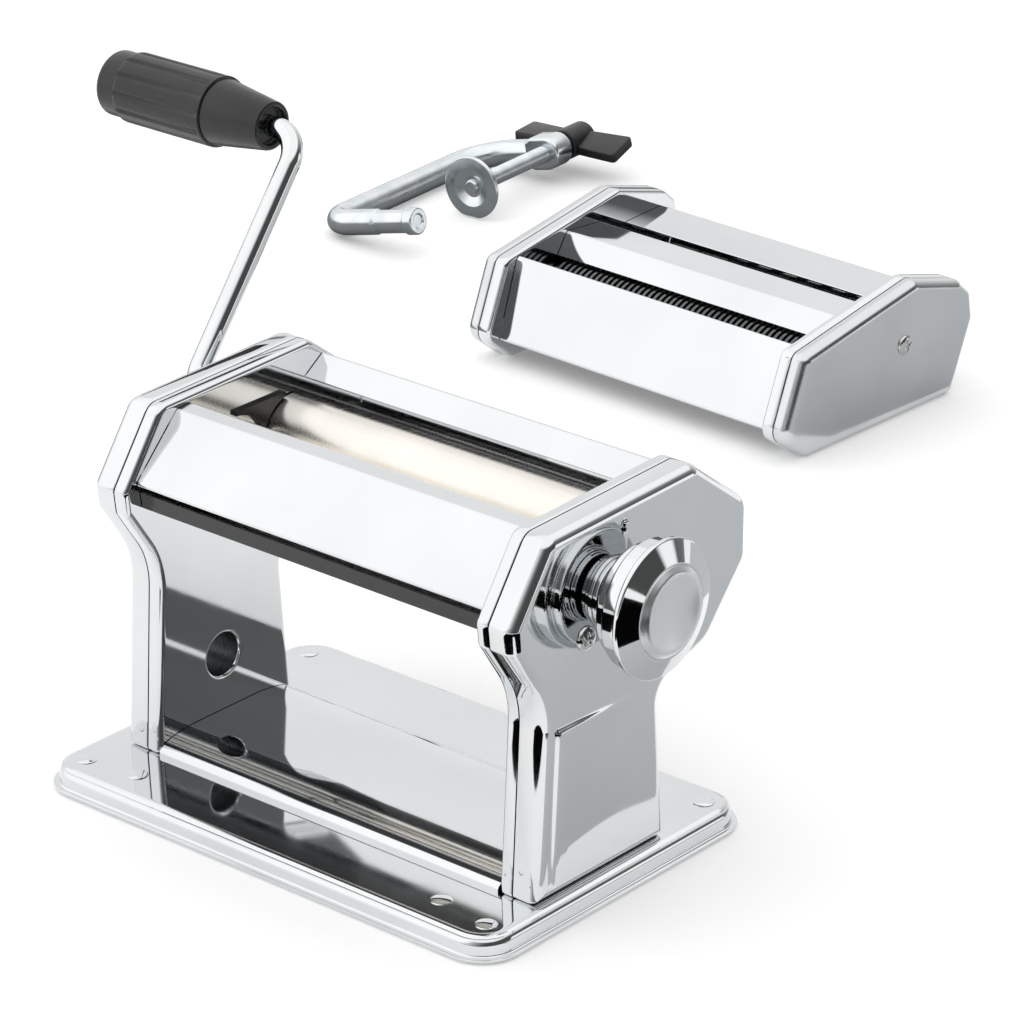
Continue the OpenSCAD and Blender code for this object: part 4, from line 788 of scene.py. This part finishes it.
def knob_spring():
    low, high = [Vector(corner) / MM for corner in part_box("knob_spring")]
    coil_r = (high.y - low.y - SPRING_WIRE) / 2
    first, last = low.x + SPRING_WIRE, high.x - SPRING_WIRE
    coil = []
    for k in range(SPRING_TURNS * SPRING_STEPS + 1):
        turn = 2 * math.pi * k / SPRING_STEPS
        x = first + (last - first) * k / (SPRING_TURNS * SPRING_STEPS)
        y = SHAFT_AXIS[0] + coil_r * math.cos(turn)
        z = SHAFT_AXIS[1] + coil_r * math.sin(turn)
        coil.append(Vector((x, y, z)))
    bm = bmesh.new()
    rod(bm, coil, SPRING_WIRE / 2, count=12)
    spring = put("wound_knob_spring", bm, STEEL, "knob", ["knob_spring"])
    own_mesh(spring)


knob_spring()

# %% [markdown]
# The grip is moulded in one piece and turns on the rod: a tapered nose with a recessed end, a step, a
# fluted barrel and a plain tail. It is turned from a section whose radius drops at the flutes.

# %% Crank grip
GRIP_NOSE_R, GRIP_R, GRIP_TAIL_R, FLUTES, FLUTE_DEPTH = 9.2, 13.4, 12.4, 12, 0.75


def flute(turn):
    """Depth of the flutes round the barrel: wide lands between narrow rounded grooves"""
    wave = 0.5 + 0.5 * math.cos(turn * FLUTES)
    return FLUTE_DEPTH * ease(0.72, 0.98, wave)


def grip_rings(count=240):
    taper, ribs = GRIP_START - GRIP_TAPER, GRIP_START - GRIP_TAPER - GRIP_RIBS
    section = [(GRIP_START - 2.5, CRANK_R + 0.1, 0), (GRIP_START - 2.5, GRIP_NOSE_R - 2.4, 0),
               (GRIP_START - 2.2, GRIP_NOSE_R - 2.1, 0), (GRIP_START - 0.3, GRIP_NOSE_R - 1.9, 0),
               (GRIP_START, GRIP_NOSE_R - 1.5, 0), (GRIP_START, GRIP_NOSE_R - 0.7, 0),
               (GRIP_START - 0.3, GRIP_NOSE_R - 0.2, 0), (GRIP_START - 1, GRIP_NOSE_R, 0),
               (taper + 0.9, GRIP_R - 1.0, 0), (taper + 0.35, GRIP_R - 0.95, 0),
               (taper + 0.25, GRIP_R - 1.2, 0), (taper + 0.05, GRIP_R - 1.2, 0),
               (taper, GRIP_R - 0.5, 0), (taper - 0.2, GRIP_R - 0.1, 0),
               (taper - 0.6, GRIP_R, 0.0), (taper - 1.2, GRIP_R, 0.3), (taper - 2.2, GRIP_R, 1),
               (ribs + 2.2, GRIP_R, 1), (ribs + 1.2, GRIP_R, 0.3), (ribs + 0.6, GRIP_R - 0.1, 0),
               (ribs, GRIP_R - 0.5, 0), (ribs - 0.4, GRIP_TAIL_R, 0), (GRIP_END + 1.8, GRIP_TAIL_R, 0)]
    section += [(GRIP_END + 1.8 - 1.8 * s, GRIP_TAIL_R - 1.8 * c, 0) for s, c in quarter(6)]
    section += [(GRIP_END, 4, 0), (GRIP_END, 0.4, 0)]
    turns = [2 * math.pi * k / count for k in range(count)]
    return [[(x, (r - deep * flute(t)) * math.cos(t), CRANK_ARM + (r - deep * flute(t)) * math.sin(t))
             for t in turns] for x, r, deep in section]


bm = bmesh.new()
rows = skin(bm, grip_rings())
close(bm, rows[-1])
bore_ends = (GRIP_START - 2.6, GRIP_END + GRIP_TAIL - 0.5)
bore = skin(bm, [circle_x(x, CRANK_R + 0.1, 0, CRANK_ARM, 240) for x in bore_ends])
join(bm, rows[0], bore[0])
close(bm, bore[1])
put("fluted_crank_grip", bm, GRIP, "crank_grip", ["crank_grip"], CRANK, sharp=30)

# %% [markdown]
# Cross-head screws hold the covers. The head is a low dome, and the cross is cut by sinking the points of
# a fine disc that lie in its arms.

# %% Cross-head screws
SCREW_R, SCREW_H, SCREW_RIM = 4.4, 1.8, 0.35
CROSS_W, CROSS_L, CROSS_DEPTH = 0.62, 2.6, 1.0


def cross_arm(along, across):
    """1 inside one arm of the cross, easing to 0 past its edges"""
    return ease(CROSS_W + 0.2, CROSS_W - 0.2, abs(across)) * ease(CROSS_L + 0.25, CROSS_L - 0.25, abs(along))


def screw_head(bm, rings=22, count=96):
    """Domed head standing on X = 0, with a cross recess"""
    turns = [2 * math.pi * i / count for i in range(count)]
    rows = []
    for k in range(rings + 1):
        r = SCREW_R * k / rings
        height = SCREW_RIM + (SCREW_H - SCREW_RIM) * (1 - (r / SCREW_R) ** 2) ** 0.6
        row = []
        for t in turns:
            y, z = r * math.cos(t), r * math.sin(t)
            arm = max(cross_arm(z, y), cross_arm(y, z))
            row.append((height - CROSS_DEPTH * arm, y, z))
        rows.append(row)
    rows[0] = [(rows[0][0][0], 0.02 * math.cos(t), 0.02 * math.sin(t)) for t in turns]
    foot = [[(x, y, z) for _, y, z in rows[-1]] for x in (0.0, -0.3)]
    made = skin(bm, rows + foot)
    close(bm, made[0])
    close(bm, made[-1])


def screws(name, places, body, nodes, place=None):
    bm = bmesh.new()
    for x, y, z, way, turn in places:
        first = len(bm.verts)
        screw_head(bm)
        bm.verts.ensure_lookup_table()
        spin = Matrix.Rotation(math.radians(turn), 4, "X")
        flip = Matrix.Identity(4) if way > 0 else Matrix.Rotation(math.pi, 4, "Z")
        bmesh.ops.transform(bm, matrix=Matrix.Translation((x, y, z)) @ flip @ spin, verts=bm.verts[first:])
    return put(name, bm, NICKEL, body, nodes, place, sharp=50)


cover_places = [(COVER_OUT, -14, 98, 1, 20), (-COVER_OUT, -14, 82, -1, 40)]
screws("cover_screw_heads", cover_places, "frame", ["cover_screws"])

# %% [markdown]
# The cutter is a second, smaller machine: two stamped plates, two drawn caps, three folded panels and two
# pairs of disc rollers. It stands behind, turned a little, so it is made in its own frame and then placed.

# %% Cutter shells
CUTTER = Matrix.Translation((-167.3, 333.5, 0)) @ Matrix.Rotation(math.radians(-2.4), 4, "Z")
CUT_IN, CUT_PANEL_END = 75.5, 75.2
CUT_SIDE = [(8, 0), (104, 0), (117, 31), (115, 43), (107, 50), (77, 58), (5, 45), (-8, 12)]
CUT_SIDE_R = [6, 4, 5, 5, 6, 8, 5, 7]
CUT_FLANGE_END, CUT_CAP_IN, CUT_CAP_OUT, CUT_ROLL = 81.5, 82.0, 89.0, 4.5
FINE_Y, FINE_Z, WIDE_Y, WIDE_Z = 18.5, 27.0, 64.5, 24.0


def cutter_side(name, left):
    bm = bmesh.new()
    stamped_stand(bm, CUT_SIDE, CUT_SIDE_R, CUT_IN, CUT_FLANGE_END, 1.6)
    cap = bmesh.new()
    holes = [(FINE_Y, FINE_Z, 5.5), (WIDE_Y, WIDE_Z, 5.5)] if left else []
    drawn_shell(cap, CUT_SIDE, CUT_SIDE_R, CUT_CAP_IN, CUT_CAP_OUT, CUT_ROLL, holes)
    for shell in (bm, cap):
        if left:
            shell.transform(MIRROR)
    put(name + "_plate", bm, CHROME, "cutter_body", ["cutter_" + name + "_plate"], CUTTER)
    put(name + "_cap", cap, SATIN, "cutter_body", ["cutter_" + name + "_cap"], CUTTER)


cutter_side("left", True)
cutter_side("right", False)

CUT_PANELS = {
    "front": ([(3, 9), (0, 10.5), (11, 44), (12.6, 45.2), (14.6, 44.2)], [0, 1.0, 0.8, 0.8, 0]),
    "middle": ([(37, 39.2), (43, 48.3), (64.2, 47), (64.8, 45.2)], [0, 2.0, 0.6, 0]),
    "rear": ([(81.5, 42.3), (105, 43.8), (113, 36), (113.4, 30), (106, 12)], [0, 2.5, 2.5, 4, 0]),
}
for name, (path, radii) in CUT_PANELS.items():
    bm = bmesh.new()
    folded(bm, path, radii, half=CUT_PANEL_END)
    put("cutter_" + name + "_sheet", bm, CHROME, "cutter_body",
        ["cutter_" + name + "_panel"], CUTTER)
screws("cutter_screw_heads", [(CUT_CAP_OUT, 69.5, 32, 1, 10), (-CUT_CAP_OUT, 51, 28, -1, 30)], "cutter_body",
       ["cutter_cap_screws"], CUTTER)
dress(STEEL, "cutter_tie_rods")
dress(GUARD, "cutter_combs")
for which in ("fine_front", "fine_rear", "wide_front", "wide_rear"):
    dress(GEAR, "cutter_gears_" + which)
    dress(CUTTER_STEEL, which + "_roller")

# %% [markdown]
# The table clamp is a bent zinc-plated rod with a stepped pin at one end and a threaded eye at the other.
# A screw with a dished pad runs through the eye, and a moulded wing turns it.

# %% Table clamp rod
ROD_R, ROD_LEN, PIN_ARM, SCREW_OFF, PAD_R = 6.0, 120.0, 53.0, 40.5, 15.0
CLAMP_TILT = math.asin((PAD_R - ROD_R) / SCREW_OFF)
CLAMP = (Matrix.Translation((-404.8, 406, ROD_R)) @ Matrix.Rotation(math.radians(4.5), 4, "Z")
         @ Matrix.Rotation(-CLAMP_TILT, 4, "Y"))
TO_Y = Matrix.Translation((SCREW_OFF, 0, 0)) @ Matrix.Rotation(math.pi / 2, 4, "Z")
EYE_HALF, EYE_HOLE_R = 6.4, 4.15
EYE = [(30, -5.9), (33.5, -7.9), (48.9, -7.9), (48.9, 7.9), (33.5, 7.9), (30, 5.9)]
EYE_R = [0.3, 3.0, 7.4, 7.4, 3.0, 0.3]


def clamp_eye(bm):
    """Flattened end of the rod: an outline in X and Z, rounded over at both faces, with the screw's hole"""
    edge = 1.4
    steps = [(edge - edge * s, -EYE_HALF + edge * c) for s, c in quarter(5)]
    steps = [(edge + 0.2, -EYE_HALF)] + steps
    steps += [(inset, -y) for inset, y in reversed(steps)]
    outline = [[(p.x, y, p.y) for p in rounded(EYE, EYE_R, shift=inset)] for inset, y in steps]
    rows = skin(bm, outline)
    turns = [2 * math.pi * k / 40 for k in range(40)]
    hole = skin(bm, [[(SCREW_OFF + EYE_HOLE_R * math.cos(t), y, EYE_HOLE_R * math.sin(t)) for t in turns]
                     for y in (-EYE_HALF, EYE_HALF)])
    close_with_holes(bm, rows[0], [hole[0]])
    close_with_holes(bm, rows[-1], [hole[1]])


def clamp_rod():
    bm = bmesh.new()
    corner = bent_path([(PIN_ARM - 24, 0, 0), (0, 0, 0), (0, ROD_LEN / 2, 0)], 13)
    far = bent_path([(0, ROD_LEN / 2, 0), (0, ROD_LEN, 0), (EYE[0][0] + 1, ROD_LEN, 0)], 20)
    rod(bm, corner[:-1] + far[1:], ROD_R)
    pin = turned_section([(PIN_ARM - 24.5, 0.5), (PIN_ARM - 24.5, ROD_R), (PIN_ARM - 24, ROD_R),
                          (PIN_ARM - 22.5, 5.4), (PIN_ARM - 6, 5.4), (PIN_ARM - 5, 6.3), (PIN_ARM, 6.3),
                          (PIN_ARM, 3.6), (PIN_ARM - 0.8, 3.0), (PIN_ARM - 0.8, 0.5)],
                         [0, 0.1, 0.3, 0.5, 0.5, 0.4, 0.9, 0.3, 0.2, 0], closed=False)
    turned_solid(bm, pin, count=48)
    first = len(bm.verts)
    clamp_eye(bm)
    bm.verts.ensure_lookup_table()
    bmesh.ops.translate(bm, vec=(0, ROD_LEN, 0), verts=bm.verts[first:])
    return put("bent_clamp_rod", bm, ZINC, "clamp_rod", ["clamp_rod"], CLAMP)


clamp_rod()

# %% [markdown]
# The pad is turned in one with its neck. The screw's thread could be cut with a boolean, but a helix in the
# radius of plain rings is lighter and has no stray faces. The wing is two blades on a hub.

# %% Clamp pad, screw and wing
PAD_Y, PAD_T = 56.0, 2.0
THREAD_R, PITCH, THREAD_FROM, THREAD_TO = 4.0, 1.25, 64.8, 144.5


def clamp_pad():
    bm = bmesh.new()
    section = [(PAD_Y + 1.6, 2.65), (PAD_Y + 1.6, 5), (PAD_Y, 9.3), (PAD_Y, PAD_R), (PAD_Y + PAD_T, PAD_R),
               (PAD_Y + PAD_T, 9.9), (PAD_Y + 4.2, 5.5), (PAD_Y + 8.6, 5.5), (PAD_Y + 8.6, 2.65)]
    turned(bm, turned_section(section, [0.1, 0.8, 1.2, 0.9, 0.9, 0.8, 0.8, 0.5, 0.1]), count=64, loop=True)
    bm.transform(TO_Y)
    return put("dished_clamp_pad", bm, ZINC, "clamp_pad", ["clamp_pad"], CLAMP)


def clamp_screw(count=32, per_turn=8):
    """Helical thread: the radius follows the angle and the distance along the screw"""
    bm = bmesh.new()
    depth = 0.55 * PITCH
    rings = []
    total = int((THREAD_TO - THREAD_FROM) / PITCH * per_turn)
    for k in range(total + 1):
        x = THREAD_FROM + PITCH * k / per_turn
        row = []
        for i in range(count):
            phase = (x / PITCH - i / count) % 1
            r = THREAD_R - depth * ease(0.1, 0.5, abs(phase - 0.5))
            row.append((x, r * math.cos(2 * math.pi * i / count), r * math.sin(2 * math.pi * i / count)))
        rings.append(row)
    neck = [circle_x(x, 2.6, 0, 0, count) for x in (PAD_Y + 1.5, THREAD_FROM - 0.2)]
    stake = turned_section([(PAD_Y - 0.1, 0.4), (PAD_Y - 0.1, 3.0), (PAD_Y + 1.4, 3.8), (PAD_Y + 1.5, 2.6)],
                           [0, 0.6, 0.3, 0], closed=False)
    rows = skin(bm, [circle_x(x, r, 0, 0, count) for x, r in stake] + neck + rings)
    close(bm, rows[0])
    close(bm, rows[-1])
    bm.transform(TO_Y)
    return put("threaded_clamp_screw", bm, ZINC, "clamp_screw", ["clamp_screw"], CLAMP,
               sharp=60)


WING_Y, WING_HUB, WING_HUB_R, WING_LEN, WING_W, WING_T = 129.5, 18.0, 7.5, 58.0, 17.0, 5.0
WING_TURN, WING_PITCH, WING_TWIST = 11.0, 10.0, 7.0


def wing_blade(bm, side):
    """Blade that leaves the hub and is rounded over all its edges"""
    edge = 0.9
    half = WING_LEN / 2
    corners = [(0, -WING_W / 2 + 1.6), (0.45 * half, -WING_W / 2 + 0.8), (half, -WING_W / 2),
               (half, WING_W / 2), (0.45 * half, WING_W / 2 - 0.8), (0, WING_W / 2 - 1.6)]
    radii = [0.5, 6, 2, 2, 6, 0.5]
    steps = [(edge - edge * s, -WING_T / 2 + edge * c) for s, c in quarter(4)]
    steps += [(inset, -z) for inset, z in reversed(steps)]
    rows = skin(bm, [[(side * p.x, side * p.y, z) for p in rounded(corners, radii, shift=inset)]
                     for inset, z in steps])
    close(bm, rows[0])
    close(bm, rows[-1])


def clamp_wing():
    """Two blades, turned a little against each other, on a round hub"""
    bm = bmesh.new()
    for side in (-1, 1):
        first = len(bm.verts)
        wing_blade(bm, side)
        bm.verts.ensure_lookup_table()
        lean = (Matrix.Rotation(math.radians(WING_TURN), 4, "Y")
                @ Matrix.Rotation(math.radians(WING_PITCH + side * WING_TWIST), 4, "X"))
        bmesh.ops.transform(bm, matrix=lean, verts=bm.verts[first:])
    first = len(bm.verts)
    reach = WING_HUB / 2
    hub = turned_section([(-reach, 4.05), (-reach, WING_HUB_R), (reach, WING_HUB_R), (reach, 0.4),
                          (reach - 2.5, 0.4), (reach - 2.5, 4.05)], [0.2, 1.0, 1.6, 0.1, 0.1, 0.1])
    turned(bm, hub, count=48, loop=True)
    bm.verts.ensure_lookup_table()
    bmesh.ops.transform(bm, matrix=Matrix.Rotation(math.pi / 2, 4, "Z"), verts=bm.verts[first:])
    bm.transform(Matrix.Translation((SCREW_OFF, WING_Y + WING_HUB / 2, 0)))
    return put("moulded_clamp_wing", bm, WING, "clamp_screw", ["clamp_wing"], CLAMP, sharp=50)


clamp_pad()
clamp_screw()
clamp_wing()

# %% [markdown]
# The studio: a pale floor under a large tent of light. The tent is bright on the left and overhead and dark
# low on the right. Black and grey felt lies on the floor on the right and at the back left, and only the
# chrome sees it. Chrome shows nothing but these, so they give the polished edges their dark lines. More light
# would whiten the floor, but it would bleach the chrome too, so the floor's own finish holds its white.

# %% Studio
FLOOR_SIZE = 30.0
FLOOR_LIFT = 0.2


def floor_finish():
    """Pale floor with a little light of its own for the eye and for the chrome, none for other surfaces"""
    finish, tree, shader, point = start("matte_white_floor", 0.0, 0.9, "#f6f6f6")
    tint(tree, shader, point, 400, "#f5f5f5", "#f7f7f7")
    shader.inputs["Specular IOR Level"].default_value = 0.0
    rays = add(tree, "ShaderNodeLightPath")
    seen = rays.outputs["Is Camera Ray"]
    for kind in ("Is Glossy Ray", "Is Transmission Ray"):
        either = add(tree, "ShaderNodeMath", operation="MAXIMUM")
        tree.links.new(seen, either.inputs[0])
        tree.links.new(rays.outputs[kind], either.inputs[1])
        seen = either.outputs["Value"]
    lift = add(tree, "ShaderNodeMath", operation="MULTIPLY")
    tree.links.new(seen, lift.inputs[0])
    lift.inputs[1].default_value = FLOOR_LIFT
    tree.links.new(lift.outputs["Value"], shader.inputs["Emission Strength"])
    shader.inputs["Emission Color"].default_value = linear("#ffffff")
    return finish


def card(name, corners, height, finish):
    """Flat piece of the studio, lying at a height"""
    mesh = bpy.data.meshes.new(name)
    mesh.from_pydata([(x, y, height) for x, y in corners], [], [tuple(range(len(corners)))])
    mesh.materials.append(finish)
    plane = bpy.data.objects.new(name, mesh)
    bpy.context.scene.collection.objects.link(plane)
    return plane


h = FLOOR_SIZE / 2
card("floor", [(-h, -h), (h, -h), (h, h), (-h, h)], 0.0, floor_finish())
print("floor", FLOOR_SIZE, "m wide")

# %% [markdown]
# The tent could be a ring of area lamps, but each lamp would show in the chrome with a hard edge. Here the
# world's brightness depends on direction alone, so a panel of light fades out softly at its rim.

# %% Tent of light
# Each panel: the way to its middle, the cosines at which it starts and is full, and its strength
TENT_PANELS = [((-0.6, -0.5, 0.62), 0.45, 0.85, 1.3), ((0, 0, 1), 0.47, 0.7, 1.22),
               ((0.7, 0.7, 0.06), 0.982, 0.994, 1.2)]


def panel_of_light(tree, way, low, high, dark, bright):
    """Brightness that rises from dark to bright as a direction turns towards the middle of a panel"""
    sky = add(tree, "ShaderNodeTexCoord").outputs["Generated"]
    facing = add(tree, "ShaderNodeVectorMath", operation="DOT_PRODUCT")
    tree.links.new(sky, facing.inputs[0])
    facing.inputs[1].default_value = Vector(way).normalized()
    rise = add(tree, "ShaderNodeMapRange", Value=facing.outputs["Value"], interpolation_type="SMOOTHSTEP")
    for name, value in zip(("From Min", "From Max", "To Min", "To Max"), (low, high, dark, bright)):
        rise.inputs[name].default_value = value
    return rise.outputs["Result"]


def tent_of_light():
    world = bpy.data.worlds.new("tent_of_light")
    bpy.context.scene.world = world
    world.use_nodes = True
    tree = world.node_tree
    tent = panel_of_light(tree, (-1, 0, 0.2), -0.75, 0.5, 0.08, 0.98)
    for way, low, high, bright in TENT_PANELS:
        brighter = add(tree, "ShaderNodeMath", operation="MAXIMUM")
        tree.links.new(tent, brighter.inputs[0])
        tree.links.new(panel_of_light(tree, way, low, high, 0.0, bright), brighter.inputs[1])
        tent = brighter.outputs["Value"]
    back = tree.nodes["Background"]
    back.inputs["Color"].default_value = linear("#ffffff")
    tree.links.new(tent, back.inputs["Strength"])


tent_of_light()
print("tent with", len(TENT_PANELS), "panels")

# %% [markdown]
# Faces of the chrome that look down would mirror a white floor and vanish. Felt laid on the floor gives them
# something dark to mirror. It is hidden from the camera and casts no shadow, so the floor itself stays plain.

# %% Felt
def felt(name, colour):
    finish, tree, shader, point = start(name, 0.0, 1.0, colour)
    shader.inputs["Specular IOR Level"].default_value = 0.0
    return finish


BLACK_FELT = felt("black_felt", "#060606")
MID_FELT = felt("mid_grey_felt", "#868889")
GREY_FELT = felt("grey_felt", "#cdcfd0")
front_right = [(0.0, -1.2), (1.6, -0.9), (1.5, 0.3), (0.3, 0.07), (0.25, -0.02), (0.24, -0.15), (0.0, -0.17)]
back_right = [(0.125, -0.05), (1.3, -0.05), (1.6, 1.4), (-0.07, 1.4), (-0.07, 0.36), (0.125, 0.2)]
back_left = [(-2.4, 0.14), (-0.2, 0.14), (-0.3, 0.3), (-0.3, 2.6), (-2.4, 2.6)]
cloths = [card("cloth_front_right", front_right, 0.0012, BLACK_FELT),
          card("cloth_back_right", back_right, 0.001, GREY_FELT),
          card("cloth_back_left", back_left, 0.001, MID_FELT)]
for cloth in cloths:
    cloth.visible_camera = False
    cloth.visible_diffuse = False
    cloth.visible_shadow = False

# %% [markdown]
# The view transform is Standard, so colours come out as they are written.

# %% View
bpy.context.scene.view_settings.view_transform = "Standard"
